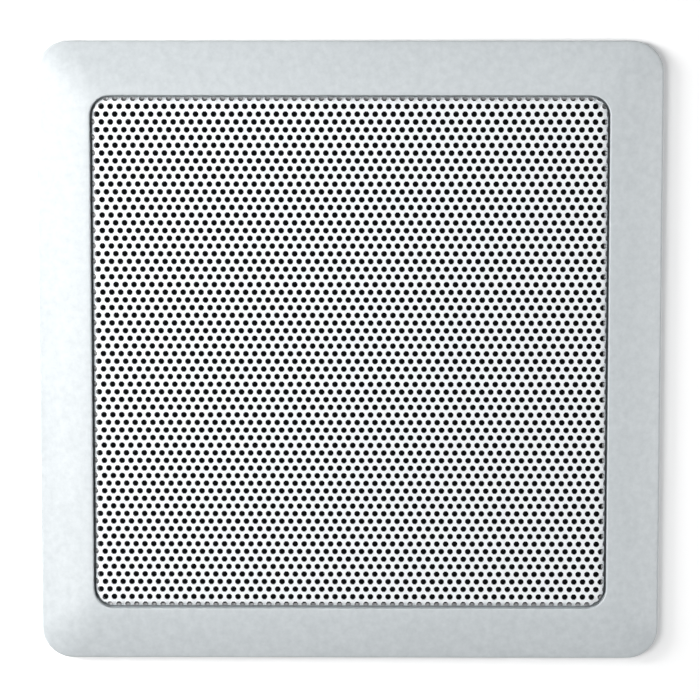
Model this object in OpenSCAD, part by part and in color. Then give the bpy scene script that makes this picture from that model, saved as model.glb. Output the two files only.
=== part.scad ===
// Flush-mount panel speaker: a square moulded frame with a crowned bezel and a pressed-in
// perforated grille, and behind it a full-range driver on a pressed steel basket.
// The frame stands upright. The panel's surface is the plane y = 0 and the front faces -Y.
// The origin is the middle of the driver's axis on that plane.

/* [Frame moulding] */
// Width and height of the bezel
panel_w = 210; // [205:1:230]
// Radius of the bezel's outer corners
panel_corner_r = 10.5; // [8:0.5:16]
// Width of the bezel round the opening that holds the grille
limb_w = 18; // [17:0.5:19]
// Radius of the opening's corners
opening_corner_r = 6.8; // [6:0.2:9]
// Height of the bezel's inner lip above the panel
bezel_h = 7.5; // [7.3:0.1:9]
// Slope of the bezel's face beside the opening, in degrees
face_slope = 7; // [4:1:9]
// Slope of the bezel's face at the outer lip, in degrees
crown_slope = 20; // [17:1:22]
// Radius of the bezel's inner edge
inner_edge_r = 0.8; // [0.4:0.1:1.2]
// Radius of the bezel's outer lip
outer_lip_r = 2.6; // [2:0.1:3]
// Wall round the opening
opening_wall_t = 2.2; // [1.8:0.1:2.6]
// Thickness of the ribs across the bezel's hollow
hollow_rib_t = 1.4; // [1:0.1:1.8]
// Number of ribs across the hollow of each limb
hollow_rib_n = 5; // [3:2:9]
// Thickness of the bezel's outer rim
rim_t = 2; // [1.6:0.1:2.4]
// Thickness of the skin over the bezel's hollow
skin_t = 2.3; // [1.8:0.1:2.6]
// Thickness of the floor behind the grille
floor_t = 2.2; // [1.8:0.1:2.6]

/* [Grille channel] */
// Height of the rib inside the grille's skirt, above the floor
channel_rib_h = 2.4; // [1.6:0.1:2.8]
// Thickness of that rib
channel_rib_t = 1.4; // [1:0.1:1.8]
// Play between that rib and the grille's skirt
channel_play = 0.25; // [0.2:0.05:0.4]
// Radius of the small crush ribs that keep the skirt tight
crush_rib_r = 0.6; // [0.5:0.1:0.8]
// Gap left between a crush rib and the skirt
crush_gap = 0.05; // [0.05:0.05:0.1]
// Distance of the crush ribs from the middle of each side
crush_rib_at = 45; // [30:5:60]

/* [Panel gasket] */
// Width of the foam gasket under the bezel
gasket_w = 6; // [5:0.2:7]
// Thickness of the gasket when it is squeezed
gasket_h = 2.5; // [2:0.1:3]
// Play between the gasket and its groove's walls
gasket_play = 0.15; // [0.1:0.05:0.3]
// Thickness of the rib beside the gasket
gasket_rib_t = 1.4; // [1:0.1:1.8]

/* [Panel screws] */
// Distance from the opening's edge to the middle of a screw hole
screw_inset = 15; // [13:0.5:16]
// Diameter of the screw holes
screw_hole_d = 4.6; // [4:0.1:5]
// Diameter of the raised seat round a screw hole
screw_seat_d = 13; // [11:0.5:14]
// Height of that seat above the floor
screw_seat_h = 1.5; // [1:0.1:2]

/* [Driver well] */
// Play between the basket's flange and the well
flange_play = 0.5; // [0.3:0.1:0.8]
// Wall of the well
well_wall_t = 2.4; // [2:0.1:3]
// Depth of the driver's seat behind the panel
seat_depth = 8; // [7:0.2:9]
// Thickness of the driver's seat
seat_t = 3; // [2.4:0.1:3.6]
// Play between the bowl and the hole through the driver's seat
bowl_play = 1.5; // [1:0.1:2]
// Diameter of the bosses behind the driver's seat
boss_d = 8; // [7:0.5:9]
// Length of those bosses
boss_l = 9; // [8:0.5:11]
// Diameter of the pilot holes for the driver screws
pilot_d = 3; // [2.6:0.1:3.2]
// Number of ribs outside the well that centre it in the panel's cut-out
centring_rib_n = 8; // [4:4:12]
// Width of those ribs
centring_rib_w = 2.4; // [2:0.1:3]
// How far those ribs stand out from the well
centring_rib_h = 1.8; // [1.4:0.1:2.2]

/* [Grille] */
// Thickness of the grille's steel sheet
sheet_t = 0.8; // [0.6:0.1:1]
// Gap between the grille and the opening
grille_gap = 0.7; // [0.5:0.1:0.8]
// Height of the grille's face above the panel
grille_face_h = 7.3; // [7:0.1:7.4]
// Outer radius of the grille's rolled edge
roll_r = 2; // [1.6:0.1:2.4]
// Play between the grille's skirt and the floor
skirt_play = 0.3; // [0.2:0.05:0.5]
// Distance between the holes of the solid grille, twice that of the real sheet
hole_pitch = 6; // [5.5:0.1:8]
// Diameter of those holes, twice that of the real ones
hole_d = 4; // [3:0.1:4.4]
// Thickness of the cloth behind the grille
scrim_t = 0.4; // [0.3:0.1:0.6]

/* [Driver basket] */
// Distance from the opening's edge to the basket's flange
basket_inset = 15; // [14:0.5:16]
// Thickness of the basket's sheet
basket_t = 1.2; // [1:0.1:1.4]
// Thickness of the foam gasket under the flange
driver_gasket_t = 1; // [0.8:0.1:1.4]
// Width of the basket's flange
flange_w = 11.5; // [11:0.5:12]
// How far the pressed corners between the flange and the bowl run
press_run = 2; // [1.6:0.1:2.4]
// Depth of the bowl from the flange's front to the spider's ledge
spider_depth = 22; // [20:0.5:24]
// Depth of the basket from the flange's front to its back plate's rear face
basket_depth = 34; // [33:0.5:36]
// Outer diameter of the ledge that the spider is glued to
spider_ledge_d = 82; // [81:0.5:84]
// Width of that ledge
spider_ledge_w = 5; // [4.5:0.1:5.5]
// Number of windows in the bowl
window_n = 6; // [4:1:8]
// Width of the spokes between the windows
spoke_w = 15; // [12:0.5:18]
// Metal left above and below a window
window_margin = 2; // [1.5:0.1:3]
// How far the cup under the ledge leans in towards the motor
cup_lean = 1; // [0.5:0.1:1.5]
// Number of driver screws
driver_screw_n = 4; // [4:2:8]
// Diameter of the holes in the flange for the driver screws
flange_hole_d = 4.4; // [4.2:0.1:4.8]
// Play between a driver screw and its pilot hole
pilot_play = 0.1; // [0.05:0.05:0.2]
// Length of a driver screw under its head
driver_screw_l = 10; // [9:0.5:11]
// Diameter of a driver screw's head
driver_head_d = 7; // [6.4:0.2:7.4]
// Height of a driver screw's head
driver_head_h = 2.4; // [2:0.1:2.8]
// Share of its diameter that a screw's or a rivet's head keeps at its top
head_taper = 0.75; // [0.7:0.05:0.9]
// Length of the cross recess in a driver screw's head
recess_l = 4; // [3.4:0.1:4.4]
// Width of the arms of that recess
recess_w = 1; // [0.8:0.1:1.2]
// Depth of that recess
recess_depth = 1.2; // [0.8:0.1:1.4]

/* [Cone and suspension] */
// How far the surround's roll starts inside the bowl
roll_inset = 1; // [0.8:0.1:1.2]
// Width of the surround's roll
roll_w = 8.5; // [8:0.1:9]
// Width of the surround's glued foot on the flange
foot_w = 4; // [3.6:0.1:4.4]
// Width of the surround's glued lip under the cone's edge
lip_w = 3; // [2.5:0.1:3.5]
// Thickness of the surround
surround_t = 0.8; // [0.6:0.1:1]
// Height of the ring that holds the surround's foot
trim_ring_h = 3; // [2.5:0.1:3.5]
// Gap between that ring and the surround's roll
trim_ring_gap = 0.5; // [0.4:0.1:0.8]
// Depth of the cone
cone_depth = 19; // [18:0.5:20]
// Thickness of the cone's paper
cone_t = 0.7; // [0.6:0.1:0.9]
// Glue gap between the former and what is glued round it
glue_gap = 0.1; // [0.05:0.05:0.2]
// Diameter of the whizzer cone's front edge
whizzer_d = 52; // [48:0.5:54]
// Height of the whizzer cone
whizzer_h = 13; // [12:0.5:14]
// Thickness of the whizzer cone's paper
whizzer_t = 0.6; // [0.5:0.1:0.8]
// Height of the dust cap's dome
cap_h = 6; // [5:0.1:7]
// Thickness of the dust cap
cap_t = 0.5; // [0.4:0.1:0.6]
// Number of waves across the spider
spider_wave_n = 4; // [3:1:5]
// Height of the spider's waves
spider_wave_h = 1.6; // [1.2:0.1:1.8]
// Thickness of the spider's cloth
spider_t = 0.5; // [0.4:0.1:0.6]
// Gap between the spider and the former
spider_gap = 0.3; // [0.2:0.05:0.4]
// Width of the flat collar inside the spider's waves
spider_collar = 1.5; // [1.2:0.1:2]
// Gap between the spider's waves and the ledge
wave_gap = 0.5; // [0.4:0.1:0.8]
// How far the spider's edge stops short of the bowl
spider_edge_gap = 1; // [0.8:0.1:1.2]

/* [Motor] */
// Inner diameter of the voice coil's former
former_d = 25.4; // [25.2:0.1:25.4]
// Thickness of the former
former_t = 0.3; // [0.2:0.05:0.35]
// How far the former runs past the cone's neck
former_proud = 1.5; // [1:0.1:2]
// How far the former runs past the winding
former_tail = 0.8; // [0.6:0.1:1.2]
// Thickness of the voice coil's winding
coil_t = 0.5; // [0.4:0.05:0.6]
// Length of the winding
coil_l = 9; // [8.5:0.1:10]
// Gap between the pole and the former
pole_gap = 0.5; // [0.4:0.05:0.7]
// Diameter of the vent through the pole
vent_d = 8; // [6:0.5:10]
// Gap between the winding and the top plate
coil_gap = 0.6; // [0.5:0.05:0.8]
// Diameter of the top plate
top_plate_d = 76; // [74:0.5:78]
// Thickness of the top plate
top_plate_t = 5; // [4.5:0.1:6]
// Outer diameter of the magnet
magnet_d = 84; // [80:0.5:86]
// Inner diameter of the magnet
magnet_bore_d = 42; // [38:0.5:44]
// Thickness of the magnet
magnet_t = 14; // [13:0.5:16]
// Diameter of the back plate
back_plate_d = 76; // [74:0.5:78]
// Thickness of the back plate
back_plate_t = 5; // [4.5:0.1:6]
// Edge radius of both steel plates
plate_edge_r = 1; // [0.5:0.1:1.5]
// Number of rivets that hold the basket to the top plate
motor_rivet_n = 4; // [3:1:6]
// Diameter of a motor rivet's head
motor_rivet_d = 6; // [5:0.2:7]
// Height of a motor rivet's head
motor_rivet_h = 1.5; // [1.2:0.1:1.8]
// Diameter of the circle of motor rivets
motor_rivet_circle_d = 52; // [50:0.5:54]

/* [Terminals] */
// Width of the terminal board
board_w = 30; // [28:0.5:34]
// Height of the terminal board
board_h = 11; // [10:0.5:12]
// Thickness of the terminal board
board_t = 1.6; // [1.4:0.1:2]
// Height of the board above the spider's ledge
board_rise = 3; // [2.5:0.1:3.5]
// Gap between the board and the bowl
board_gap = 0.3; // [0.2:0.05:0.5]
// Width of the basket's lug that carries the board
lug_w = 11; // [10:0.5:12]
// How far the lug stops short of the board's outer edge
lug_inset = 1; // [0.8:0.1:1.4]
// How far the lug runs into the bowl's wall
lug_root = 0.3; // [0.2:0.05:0.4]
// Distance between the terminal tabs
tab_spacing = 19; // [18.5:0.1:20]
// Width of the foot of a tab
tab_foot_w = 6; // [5:0.5:6.5]
// Width of the positive tab
tab_positive_w = 4.8; // [4.6:0.1:5.2]
// Width of the negative tab
tab_negative_w = 2.8; // [2.6:0.1:3.2]
// Thickness of the tabs
tab_t = 0.8; // [0.6:0.1:0.9]
// Length of a tab behind the board's front
tab_l = 10; // [9:0.5:11]
// Diameter of a terminal rivet's shank
rivet_d = 2.4; // [2:0.1:2.6]
// Diameter of a terminal rivet's head
rivet_head_d = 4.2; // [4:0.1:4.6]
// Height of a terminal rivet's head
rivet_head_h = 0.8; // [0.6:0.1:1]
// Play between a terminal rivet and its hole
rivet_play = 0.15; // [0.1:0.05:0.2]
// Diameter of a tinsel lead
tinsel_d = 1.2; // [1:0.1:1.4]
// Gap between a tinsel lead and its rivet's head
tinsel_gap = 0.3; // [0.2:0.1:0.5]
// Sag of a tinsel lead between its tab and the cone
tinsel_sag = 3; // [2:0.2:4]
// Distance from the axis to the place where a tinsel lead meets the cone
tinsel_end_y = 30; // [28:0.5:32]

/* [Hidden] */
$fn = 64;
// How far a cutting shape runs past the face it cuts
cut = 1;

// Points of an arc with its centre at c, from one angle to another
function arc(c, r, from, to, steps) =
    [for (k = [0:steps]) let (a = from + (to - from) * k / steps) c + r * [cos(a), sin(a)]];

// The bezel's section is drawn with x outward from the opening's edge and y above the panel
opening_w = panel_w - 2 * limb_w;
edge_c = [inner_edge_r, bezel_h - inner_edge_r];
crown_r = (limb_w - inner_edge_r * (1 + sin(face_slope)) - outer_lip_r * (1 - sin(crown_slope)))
    / (sin(crown_slope) - sin(face_slope));
crown_c = edge_c - (crown_r - inner_edge_r) * [sin(face_slope), cos(face_slope)];
lip_c = crown_c + (crown_r - outer_lip_r) * [sin(crown_slope), cos(crown_slope)];
// The face is swept round the corner from here outward, and mitred from here inward
corner_x = limb_w - panel_corner_r;
corner_slope = asin((corner_x - crown_c[0]) / crown_r);
gasket_outer = limb_w - rim_t;
gasket_inner = gasket_outer - gasket_w;
hollow_outer = gasket_inner - gasket_rib_t;
// Height of the bezel's face at a distance from the opening
function crown_y(x) = crown_c[1] + sqrt(crown_r * crown_r - pow(x - crown_c[0], 2));
hollow_h = crown_y(hollow_outer) - skin_t;

screw_spacing = opening_w - 2 * screw_inset;
basket_d = opening_w - 2 * basket_inset;
bowl_d = basket_d - 2 * flange_w;

grille_w = opening_w - 2 * grille_gap;
grille_corner_r = opening_corner_r - grille_gap;
grille_inner_w = grille_w - 2 * sheet_t;
skirt_end_h = floor_t + skirt_play;
rib_outer_w = grille_inner_w - 2 * channel_play;
flat_w = grille_w - 2 * roll_r;
row_pitch = hole_pitch * sqrt(3) / 2;

// Heights above the panel, which are negative behind it
seat_z = -seat_depth;
flange_back_z = seat_z + driver_gasket_t;
flange_z = flange_back_z + basket_t;
spider_z = flange_z - spider_depth;
plate_z = flange_z - basket_depth;
magnet_z = plate_z - top_plate_t;
back_plate_z = magnet_z - magnet_t;
rear_z = back_plate_z - back_plate_t;
coil_z = plate_z - top_plate_t / 2 - coil_l / 2;
cone_edge_z = flange_z + surround_t;
cone_neck_z = cone_edge_z - cone_depth;
former_z = coil_z - former_tail;
former_top_z = cone_neck_z + cone_t + former_proud;

former_outer_d = former_d + 2 * former_t;
neck_d = former_outer_d + 2 * glue_gap;
coil_d = former_outer_d + 2 * coil_t;
gap_bore_d = coil_d + 2 * coil_gap;
pole_d = former_d - 2 * pole_gap;
spider_inner_d = former_outer_d + 2 * spider_gap;
roll_d = bowl_d - 2 * roll_inset;
cone_d = roll_d - 2 * roll_w;
foot_outer_d = roll_d + 2 * foot_w;
well_d = basket_d + 2 * flange_play;
seat_hole_d = bowl_d + 2 * bowl_play;
screw_circle_d = (foot_outer_d + basket_d) / 2;
driver_screw_d = pilot_d - 2 * pilot_play;
// Rise of the cone for each millimetre outward
cone_slope = (cone_edge_z - cone_neck_z) / (cone_d / 2 - lip_w - neck_d / 2);

// The bowl's wall leans out in a straight line from the ledge to the flange
bowl_low = [spider_ledge_d / 2, spider_z - basket_t];
bowl_high = [bowl_d / 2 - press_run, flange_back_z - press_run];
bowl_lean = (bowl_high[0] - bowl_low[0]) / (bowl_high[1] - bowl_low[1]);
function bowl_r(z) = bowl_low[0] + (z - bowl_low[1]) * bowl_lean;
board_z = spider_z + board_rise;
board_top_z = board_z + board_t;
board_y = -bowl_r(board_top_z) - board_gap;
board_end_y = board_y - board_h;
rivet_y = board_y - board_h / 2;

// The front view's x and y become X and Z, and heights above the panel run to -Y
module upright() {
    rotate([90, 0, 0]) children();
}

// A square with round corners, centred
module rounded_square(w, r) {
    square([w, w - 2 * r], center = true);
    square([w - 2 * r, w], center = true);
    for (x = [-1, 1])
        for (y = [-1, 1])
            translate([x * (w / 2 - r), y * (w / 2 - r)]) circle(r);
}

// A square ring with round corners
module rounded_ring(w, r, t) {
    difference() {
        rounded_square(w, r);
        rounded_square(w - 2 * t, r - t);
    }
}

// Carries a section round a square with round corners: x is outward from the square's edge
module frame_of(w, r) {
    for (k = [0:3])
        rotate([0, 0, 90 * k]) {
            translate([w / 2, -(w / 2 - r), 0])
                rotate([90, 0, 180]) mirror([1, 0, 0]) linear_extrude(w - 2 * r) children();
            translate([w / 2 - r, w / 2 - r, 0])
                rotate_extrude(angle = 90) translate([r, 0]) children();
        }
}

// Copies round the driver's axis
module around(n, start) {
    for (k = [0:n - 1])
        rotate([0, 0, start + 360 * k / n]) children();
}

// The outer part of the bezel's section, from the start of the swept corner to the rim
function outer_skin() = concat(arc(crown_c, crown_r, 90 - corner_slope, 90 - crown_slope, 8),
    arc(lip_c, outer_lip_r, 90 - crown_slope, 0, 7), [[limb_w, 0]]);

// A long bar with the section of the whole frame: flat in the middle and crowned at both edges
module crowned_bar() {
    edge = [for (p = concat(arc(crown_c, crown_r, 90 - face_slope, 90 - corner_slope, 5), outer_skin()))
        [p[0] + opening_w / 2, p[1]]];
    other = [for (k = [len(edge) - 1:-1:0]) [-edge[k][0], edge[k][1]]];
    translate([0, panel_w / 2, 0]) rotate([90, 0, 0]) linear_extrude(panel_w) polygon(concat(edge, other));
}

// The frame's solid block, whose four crowned limbs meet in mitres inside the swept corners
module crowned_block() {
    corner = panel_w / 2 - panel_corner_r;
    difference() {
        intersection() {
            crowned_bar();
            rotate([0, 0, 90]) crowned_bar();
        }
        for (k = [0:3])
            rotate([0, 0, 90 * k]) translate([corner, corner, -cut]) cube(panel_corner_r + bezel_h);
    }
    for (k = [0:3])
        rotate([0, 0, 90 * k]) translate([corner, corner, 0]) rotate_extrude(angle = 90)
            translate([-corner_x, 0]) polygon(concat([[corner_x, 0]], outer_skin()));
}

// What the rounding of the opening's edge takes away
module edge_rounding() {
    frame_of(opening_w, opening_corner_r) polygon(concat([[-cut, bezel_h + cut], [-cut, edge_c[1]]],
        arc(edge_c, inner_edge_r, 180, 90 - face_slope, 5),
        [[inner_edge_r * (1 + sin(face_slope)), bezel_h + cut]]));
}

// The groove for the gasket and the hollow beside it, with its ribs left standing
module bezel_hollows() {
    translate([0, 0, -cut]) linear_extrude(gasket_h + cut)
        rounded_ring(opening_w + 2 * gasket_outer, panel_corner_r - rim_t, gasket_w);
    hollow_w = opening_w + 2 * hollow_outer;
    inner_w = opening_w + 2 * opening_wall_t;
    step = inner_w / (hollow_rib_n + 1);
    translate([0, 0, -cut]) linear_extrude(hollow_h + cut) difference() {
        rounded_square(hollow_w, opening_wall_t);
        rounded_square(inner_w, opening_corner_r + opening_wall_t);
        for (turn = [0, 90])
            rotate([0, 0, turn])
                for (k = [1:hollow_rib_n])
                    translate([k * step - inner_w / 2, 0]) square([hollow_rib_t, 2 * panel_w], center = true);
    }
}

// The round well behind the floor, with the driver's seat and its bosses
module well() {
    translate([0, 0, seat_z - seat_t]) tube(well_d + 2 * well_wall_t, seat_hole_d, seat_t);
    translate([0, 0, seat_z]) tube(well_d + 2 * well_wall_t, well_d, seat_depth + floor_t / 2);
    around(driver_screw_n, 45) translate([screw_circle_d / 2, 0, seat_z - boss_l])
        cylinder(d = boss_d, h = boss_l);
    around(centring_rib_n, 180 / centring_rib_n)
        translate([well_d / 2 + well_wall_t / 2, -centring_rib_w / 2, seat_z - seat_t])
            cube([well_wall_t / 2 + centring_rib_h, centring_rib_w, seat_depth + seat_t + floor_t / 2]);
}

// The small ribs on the channel's rib that the grille's skirt is pressed over
module crush_ribs() {
    crush_x = grille_inner_w / 2 - crush_gap - crush_rib_r;
    for (k = [0:3])
        for (side = [-1, 1])
            rotate([0, 0, 90 * k]) translate([crush_x, side * crush_rib_at, floor_t / 2])
                cylinder(r = crush_rib_r, h = floor_t / 2 + channel_rib_h, $fn = 24);
}

module at_panel_screws() {
    for (x = [-1, 1])
        for (y = [-1, 1])
            translate([x * screw_spacing / 2, y * screw_spacing / 2, 0]) children();
}

module bezel_frame() {
    color([0.84, 0.87, 0.89]) upright() difference() {
        union() {
            difference() {
                crowned_block();
                translate([0, 0, floor_t]) linear_extrude(bezel_h)
                    rounded_square(opening_w, opening_corner_r);
                edge_rounding();
                bezel_hollows();
                translate([0, 0, -cut]) cylinder(d = well_d, h = floor_t + 2 * cut);
            }
            well();
            translate([0, 0, floor_t / 2]) linear_extrude(floor_t / 2 + channel_rib_h)
                rounded_ring(rib_outer_w, grille_corner_r - sheet_t - channel_play, channel_rib_t);
            crush_ribs();
            at_panel_screws() cylinder(d = screw_seat_d, h = floor_t + screw_seat_h);
        }
        at_panel_screws() translate([0, 0, -cut])
            cylinder(d = screw_hole_d, h = floor_t + screw_seat_h + 2 * cut);
        around(driver_screw_n, 45) translate([screw_circle_d / 2, 0, seat_z - boss_l - cut])
            cylinder(d = pilot_d, h = boss_l + 2 * cut);
    }
}

module panel_gasket() {
    color([0.16, 0.16, 0.17]) upright() linear_extrude(gasket_h)
        rounded_ring(opening_w + 2 * gasket_outer - 2 * gasket_play, panel_corner_r - rim_t - gasket_play,
            gasket_w - 2 * gasket_play);
}

module grille_section() {
    rolled = grille_face_h - roll_r;
    polygon(concat([[-roll_r, grille_face_h]],
        arc([-roll_r, rolled], roll_r, 90, 0, 8),
        [[0, skirt_end_h], [-sheet_t, skirt_end_h]],
        arc([-roll_r, rolled], roll_r - sheet_t, 0, 90, 8)));
}

module hole_pattern() {
    rows = floor((flat_w / 2 - hole_d / 2) / row_pitch);
    columns = floor((flat_w / 2 - hole_d / 2) / hole_pitch);
    for (j = [-rows:rows]) {
        shift = abs(j) % 2 / 2;
        for (i = [-columns:columns - 2 * shift])
            translate([(i + shift) * hole_pitch, j * row_pitch]) circle(d = hole_d, $fn = 24);
    }
}

module grille() {
    color([0.97, 0.98, 0.99]) upright() {
        frame_of(grille_w, grille_corner_r) grille_section();
        translate([0, 0, grille_face_h - sheet_t]) linear_extrude(sheet_t) difference() {
            rounded_square(flat_w, grille_corner_r - roll_r);
            hole_pattern();
        }
    }
}

module scrim_cloth() {
    color([0.05, 0.05, 0.06]) upright() translate([0, 0, grille_face_h - sheet_t - scrim_t])
        linear_extrude(scrim_t) rounded_square(flat_w, grille_corner_r - roll_r);
}

module driver_gasket() {
    color([0.12, 0.12, 0.13]) upright() translate([0, 0, seat_z]) linear_extrude(driver_gasket_t)
        difference() {
            circle(d = basket_d);
            circle(d = seat_hole_d);
            around(driver_screw_n, 45) translate([screw_circle_d / 2, 0]) circle(d = flange_hole_d);
        }
}

module basket_section() {
    flange_r = basket_d / 2;
    ledge_r = spider_ledge_d / 2;
    ledge_inner_r = ledge_r - spider_ledge_w;
    cup_r = ledge_inner_r - cup_lean;
    bore_r = gap_bore_d / 2 + coil_gap;
    polygon([[flange_r, flange_z], [flange_r, flange_back_z], [bowl_d / 2, flange_back_z],
        bowl_high, bowl_low, [ledge_inner_r + basket_t, spider_z - basket_t],
        [cup_r, plate_z], [bore_r, plate_z], [bore_r, plate_z + basket_t],
        [cup_r - basket_t, plate_z + basket_t], [ledge_inner_r, spider_z],
        [ledge_r - basket_t / 2, spider_z], [bowl_high[0] - basket_t, flange_back_z - basket_t],
        [bowl_d / 2 - press_run, flange_z]]);
}

// The flat lug, bent out from the lowest spoke, that carries the terminal board
module basket_lug() {
    root_y = lug_root - bowl_r(board_z - basket_t);
    translate([-lug_w / 2, board_end_y + lug_inset, board_z - basket_t])
        cube([lug_w, root_y - board_end_y - lug_inset, basket_t]);
}

module driver_basket() {
    color([0.13, 0.13, 0.14]) upright() difference() {
        union() {
            difference() {
                rotate_extrude($fn = 96) basket_section();
                around(window_n, 0) window_cut();
            }
            basket_lug();
        }
        around(driver_screw_n, 45) translate([screw_circle_d / 2, 0, flange_back_z - cut])
            cylinder(d = flange_hole_d, h = basket_t + 2 * cut);
        translate([0, rivet_y, board_z - basket_t - cut])
            cylinder(d = rivet_d + 2 * rivet_play, h = basket_t + 2 * cut);
    }
}

// A window's cutting block, between two spokes and clear of the flange and the ledge
module window_cut() {
    half = 180 / window_n;
    far = bowl_d / 2;
    low = spider_z + window_margin;
    high = bowl_high[1] - window_margin;
    translate([0, 0, low]) linear_extrude(high - low) difference() {
        polygon([[0, 0], 2 * far * [cos(half), -sin(half)], 2 * far * [cos(half), sin(half)]]);
        for (side = [-1, 1])
            rotate([0, 0, side * half]) translate([0, -spoke_w / 2]) square([3 * far, spoke_w]);
    }
}

module driver_screw() {
    translate([0, 0, -driver_screw_l]) cylinder(d = driver_screw_d, h = driver_screw_l);
    difference() {
        cylinder(d1 = driver_head_d, d2 = driver_head_d * head_taper, h = driver_head_h);
        for (turn = [0, 90])
            rotate([0, 0, turn]) translate([-recess_l / 2, -recess_w / 2, driver_head_h - recess_depth])
                cube([recess_l, recess_w, recess_depth + cut]);
    }
}

module driver_screws() {
    color([0.2, 0.2, 0.21]) upright() around(driver_screw_n, 45)
        translate([screw_circle_d / 2, 0, flange_z]) driver_screw();
}

module trim_ring() {
    color([0.08, 0.08, 0.09]) upright() translate([0, 0, flange_z + surround_t])
        tube(foot_outer_d, roll_d + 2 * trim_ring_gap, trim_ring_h);
}

module surround() {
    outer_r = roll_d / 2;
    inner_r = cone_d / 2;
    mid_r = (outer_r + inner_r) / 2;
    half = (outer_r - inner_r) / 2;
    color([0.07, 0.07, 0.08]) upright() rotate_extrude($fn = 96) translate([0, flange_z]) {
        translate([outer_r - surround_t, 0]) square([foot_outer_d / 2 - outer_r + surround_t, surround_t]);
        translate([inner_r - lip_w, 0]) square([lip_w + surround_t, surround_t]);
        translate([mid_r, 0]) difference() {
            circle(half);
            circle(half - surround_t);
            translate([-2 * half, -2 * half]) square([4 * half, 2 * half]);
        }
    }
}

module cone() {
    edge = cone_d / 2;
    neck = neck_d / 2;
    color([0.1, 0.1, 0.11]) upright() rotate_extrude($fn = 96)
        polygon([[edge, cone_edge_z], [edge, cone_edge_z + cone_t], [edge - lip_w, cone_edge_z + cone_t],
            [neck, cone_neck_z + cone_t], [neck, cone_neck_z], [edge - lip_w, cone_edge_z]]);
}

module whizzer_cone() {
    edge = whizzer_d / 2;
    neck = neck_d / 2;
    base = cone_neck_z + cone_t + whizzer_t * cone_slope + glue_gap;
    // The flare widens towards its front edge as a quarter of an ellipse
    flare = function (r0, z0, r1, z1) [for (a = [0:15:75])
        [r0 + (r1 - r0) * (1 - cos(a)) / (1 - cos(75)), z0 + (z1 - z0) * sin(a) / sin(75)]];
    outer = flare(neck + whizzer_t, base, edge, base + whizzer_h);
    inner = flare(neck, base, edge - whizzer_t, base + whizzer_h + whizzer_t / 3);
    color([0.85, 0.85, 0.84]) upright() rotate_extrude($fn = 96)
        polygon(concat(outer, [for (k = [len(inner) - 1:-1:0]) inner[k]]));
}

module dust_cap() {
    r = former_outer_d / 2;
    dome_r = (r * r + cap_h * cap_h) / (2 * cap_h);
    color([0.8, 0.8, 0.79]) upright() translate([0, 0, former_top_z]) difference() {
        translate([0, 0, cap_h - dome_r]) sphere(dome_r);
        translate([0, 0, cap_h - dome_r]) sphere(dome_r - cap_t);
        translate([0, 0, -2 * dome_r]) cylinder(r = 2 * dome_r, h = 2 * dome_r);
    }
}

module tube(outer_d, inner_d, h) {
    difference() {
        cylinder(d = outer_d, h = h);
        translate([0, 0, -cut]) cylinder(d = inner_d, h = h + 2 * cut);
    }
}

module voice_coil_former() {
    color([0.78, 0.65, 0.42]) upright() translate([0, 0, former_z])
        tube(former_outer_d, former_d, former_top_z - former_z);
}

module voice_coil() {
    color([0.72, 0.42, 0.2]) upright() translate([0, 0, coil_z]) tube(coil_d, former_outer_d, coil_l);
}

module spider() {
    inner = spider_inner_d / 2;
    outer = spider_ledge_d / 2 - spider_edge_gap;
    flat_in = inner + spider_collar;
    flat_out = spider_ledge_d / 2 - spider_ledge_w - wave_gap;
    steps = spider_wave_n * 8;
    top = [for (k = [0:steps]) let (t = k / steps)
        [flat_in + (flat_out - flat_in) * t, spider_t + spider_wave_h * sin(360 * spider_wave_n * t) / 2]];
    bottom = [for (k = [0:steps]) let (t = 1 - k / steps)
        [flat_in + (flat_out - flat_in) * t, spider_wave_h * sin(360 * spider_wave_n * t) / 2]];
    color([0.8, 0.66, 0.36]) upright() translate([0, 0, spider_z]) rotate_extrude()
        polygon(concat([[inner, spider_t]], top, [[outer, spider_t], [outer, 0]], bottom, [[inner, 0]]));
}

module edge_cut_disc(d, h) {
    rotate_extrude() polygon([[0, 0], [d / 2 - plate_edge_r, 0], [d / 2, plate_edge_r],
        [d / 2, h - plate_edge_r], [d / 2 - plate_edge_r, h], [0, h]]);
}

module top_plate() {
    color([0.72, 0.72, 0.7]) upright() translate([0, 0, magnet_z]) difference() {
        edge_cut_disc(top_plate_d, top_plate_t);
        translate([0, 0, -cut]) cylinder(d = gap_bore_d, h = top_plate_t + 2 * cut);
    }
}

module magnet() {
    color([0.2, 0.2, 0.21]) upright() translate([0, 0, back_plate_z]) tube(magnet_d, magnet_bore_d, magnet_t);
}

module pole_yoke() {
    color([0.72, 0.72, 0.7]) upright() difference() {
        union() {
            translate([0, 0, rear_z]) edge_cut_disc(back_plate_d, back_plate_t);
            translate([0, 0, back_plate_z - cut]) cylinder(d = pole_d, h = plate_z - back_plate_z + cut);
        }
        translate([0, 0, rear_z - cut]) cylinder(d = vent_d, h = plate_z - rear_z + 2 * cut);
    }
}

module motor_rivets() {
    color([0.7, 0.7, 0.7]) upright() around(motor_rivet_n, 45)
        translate([motor_rivet_circle_d / 2, 0, plate_z + basket_t])
            cylinder(d1 = motor_rivet_d, d2 = motor_rivet_d * head_taper, h = motor_rivet_h);
}

module terminal_board() {
    color([0.45, 0.28, 0.16]) upright() translate([0, 0, board_z]) linear_extrude(board_t) difference() {
        translate([-board_w / 2, board_end_y]) square([board_w, board_h]);
        for (x = [-tab_spacing / 2, 0, tab_spacing / 2])
            translate([x, rivet_y]) circle(d = rivet_d + 2 * rivet_play);
    }
}

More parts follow.
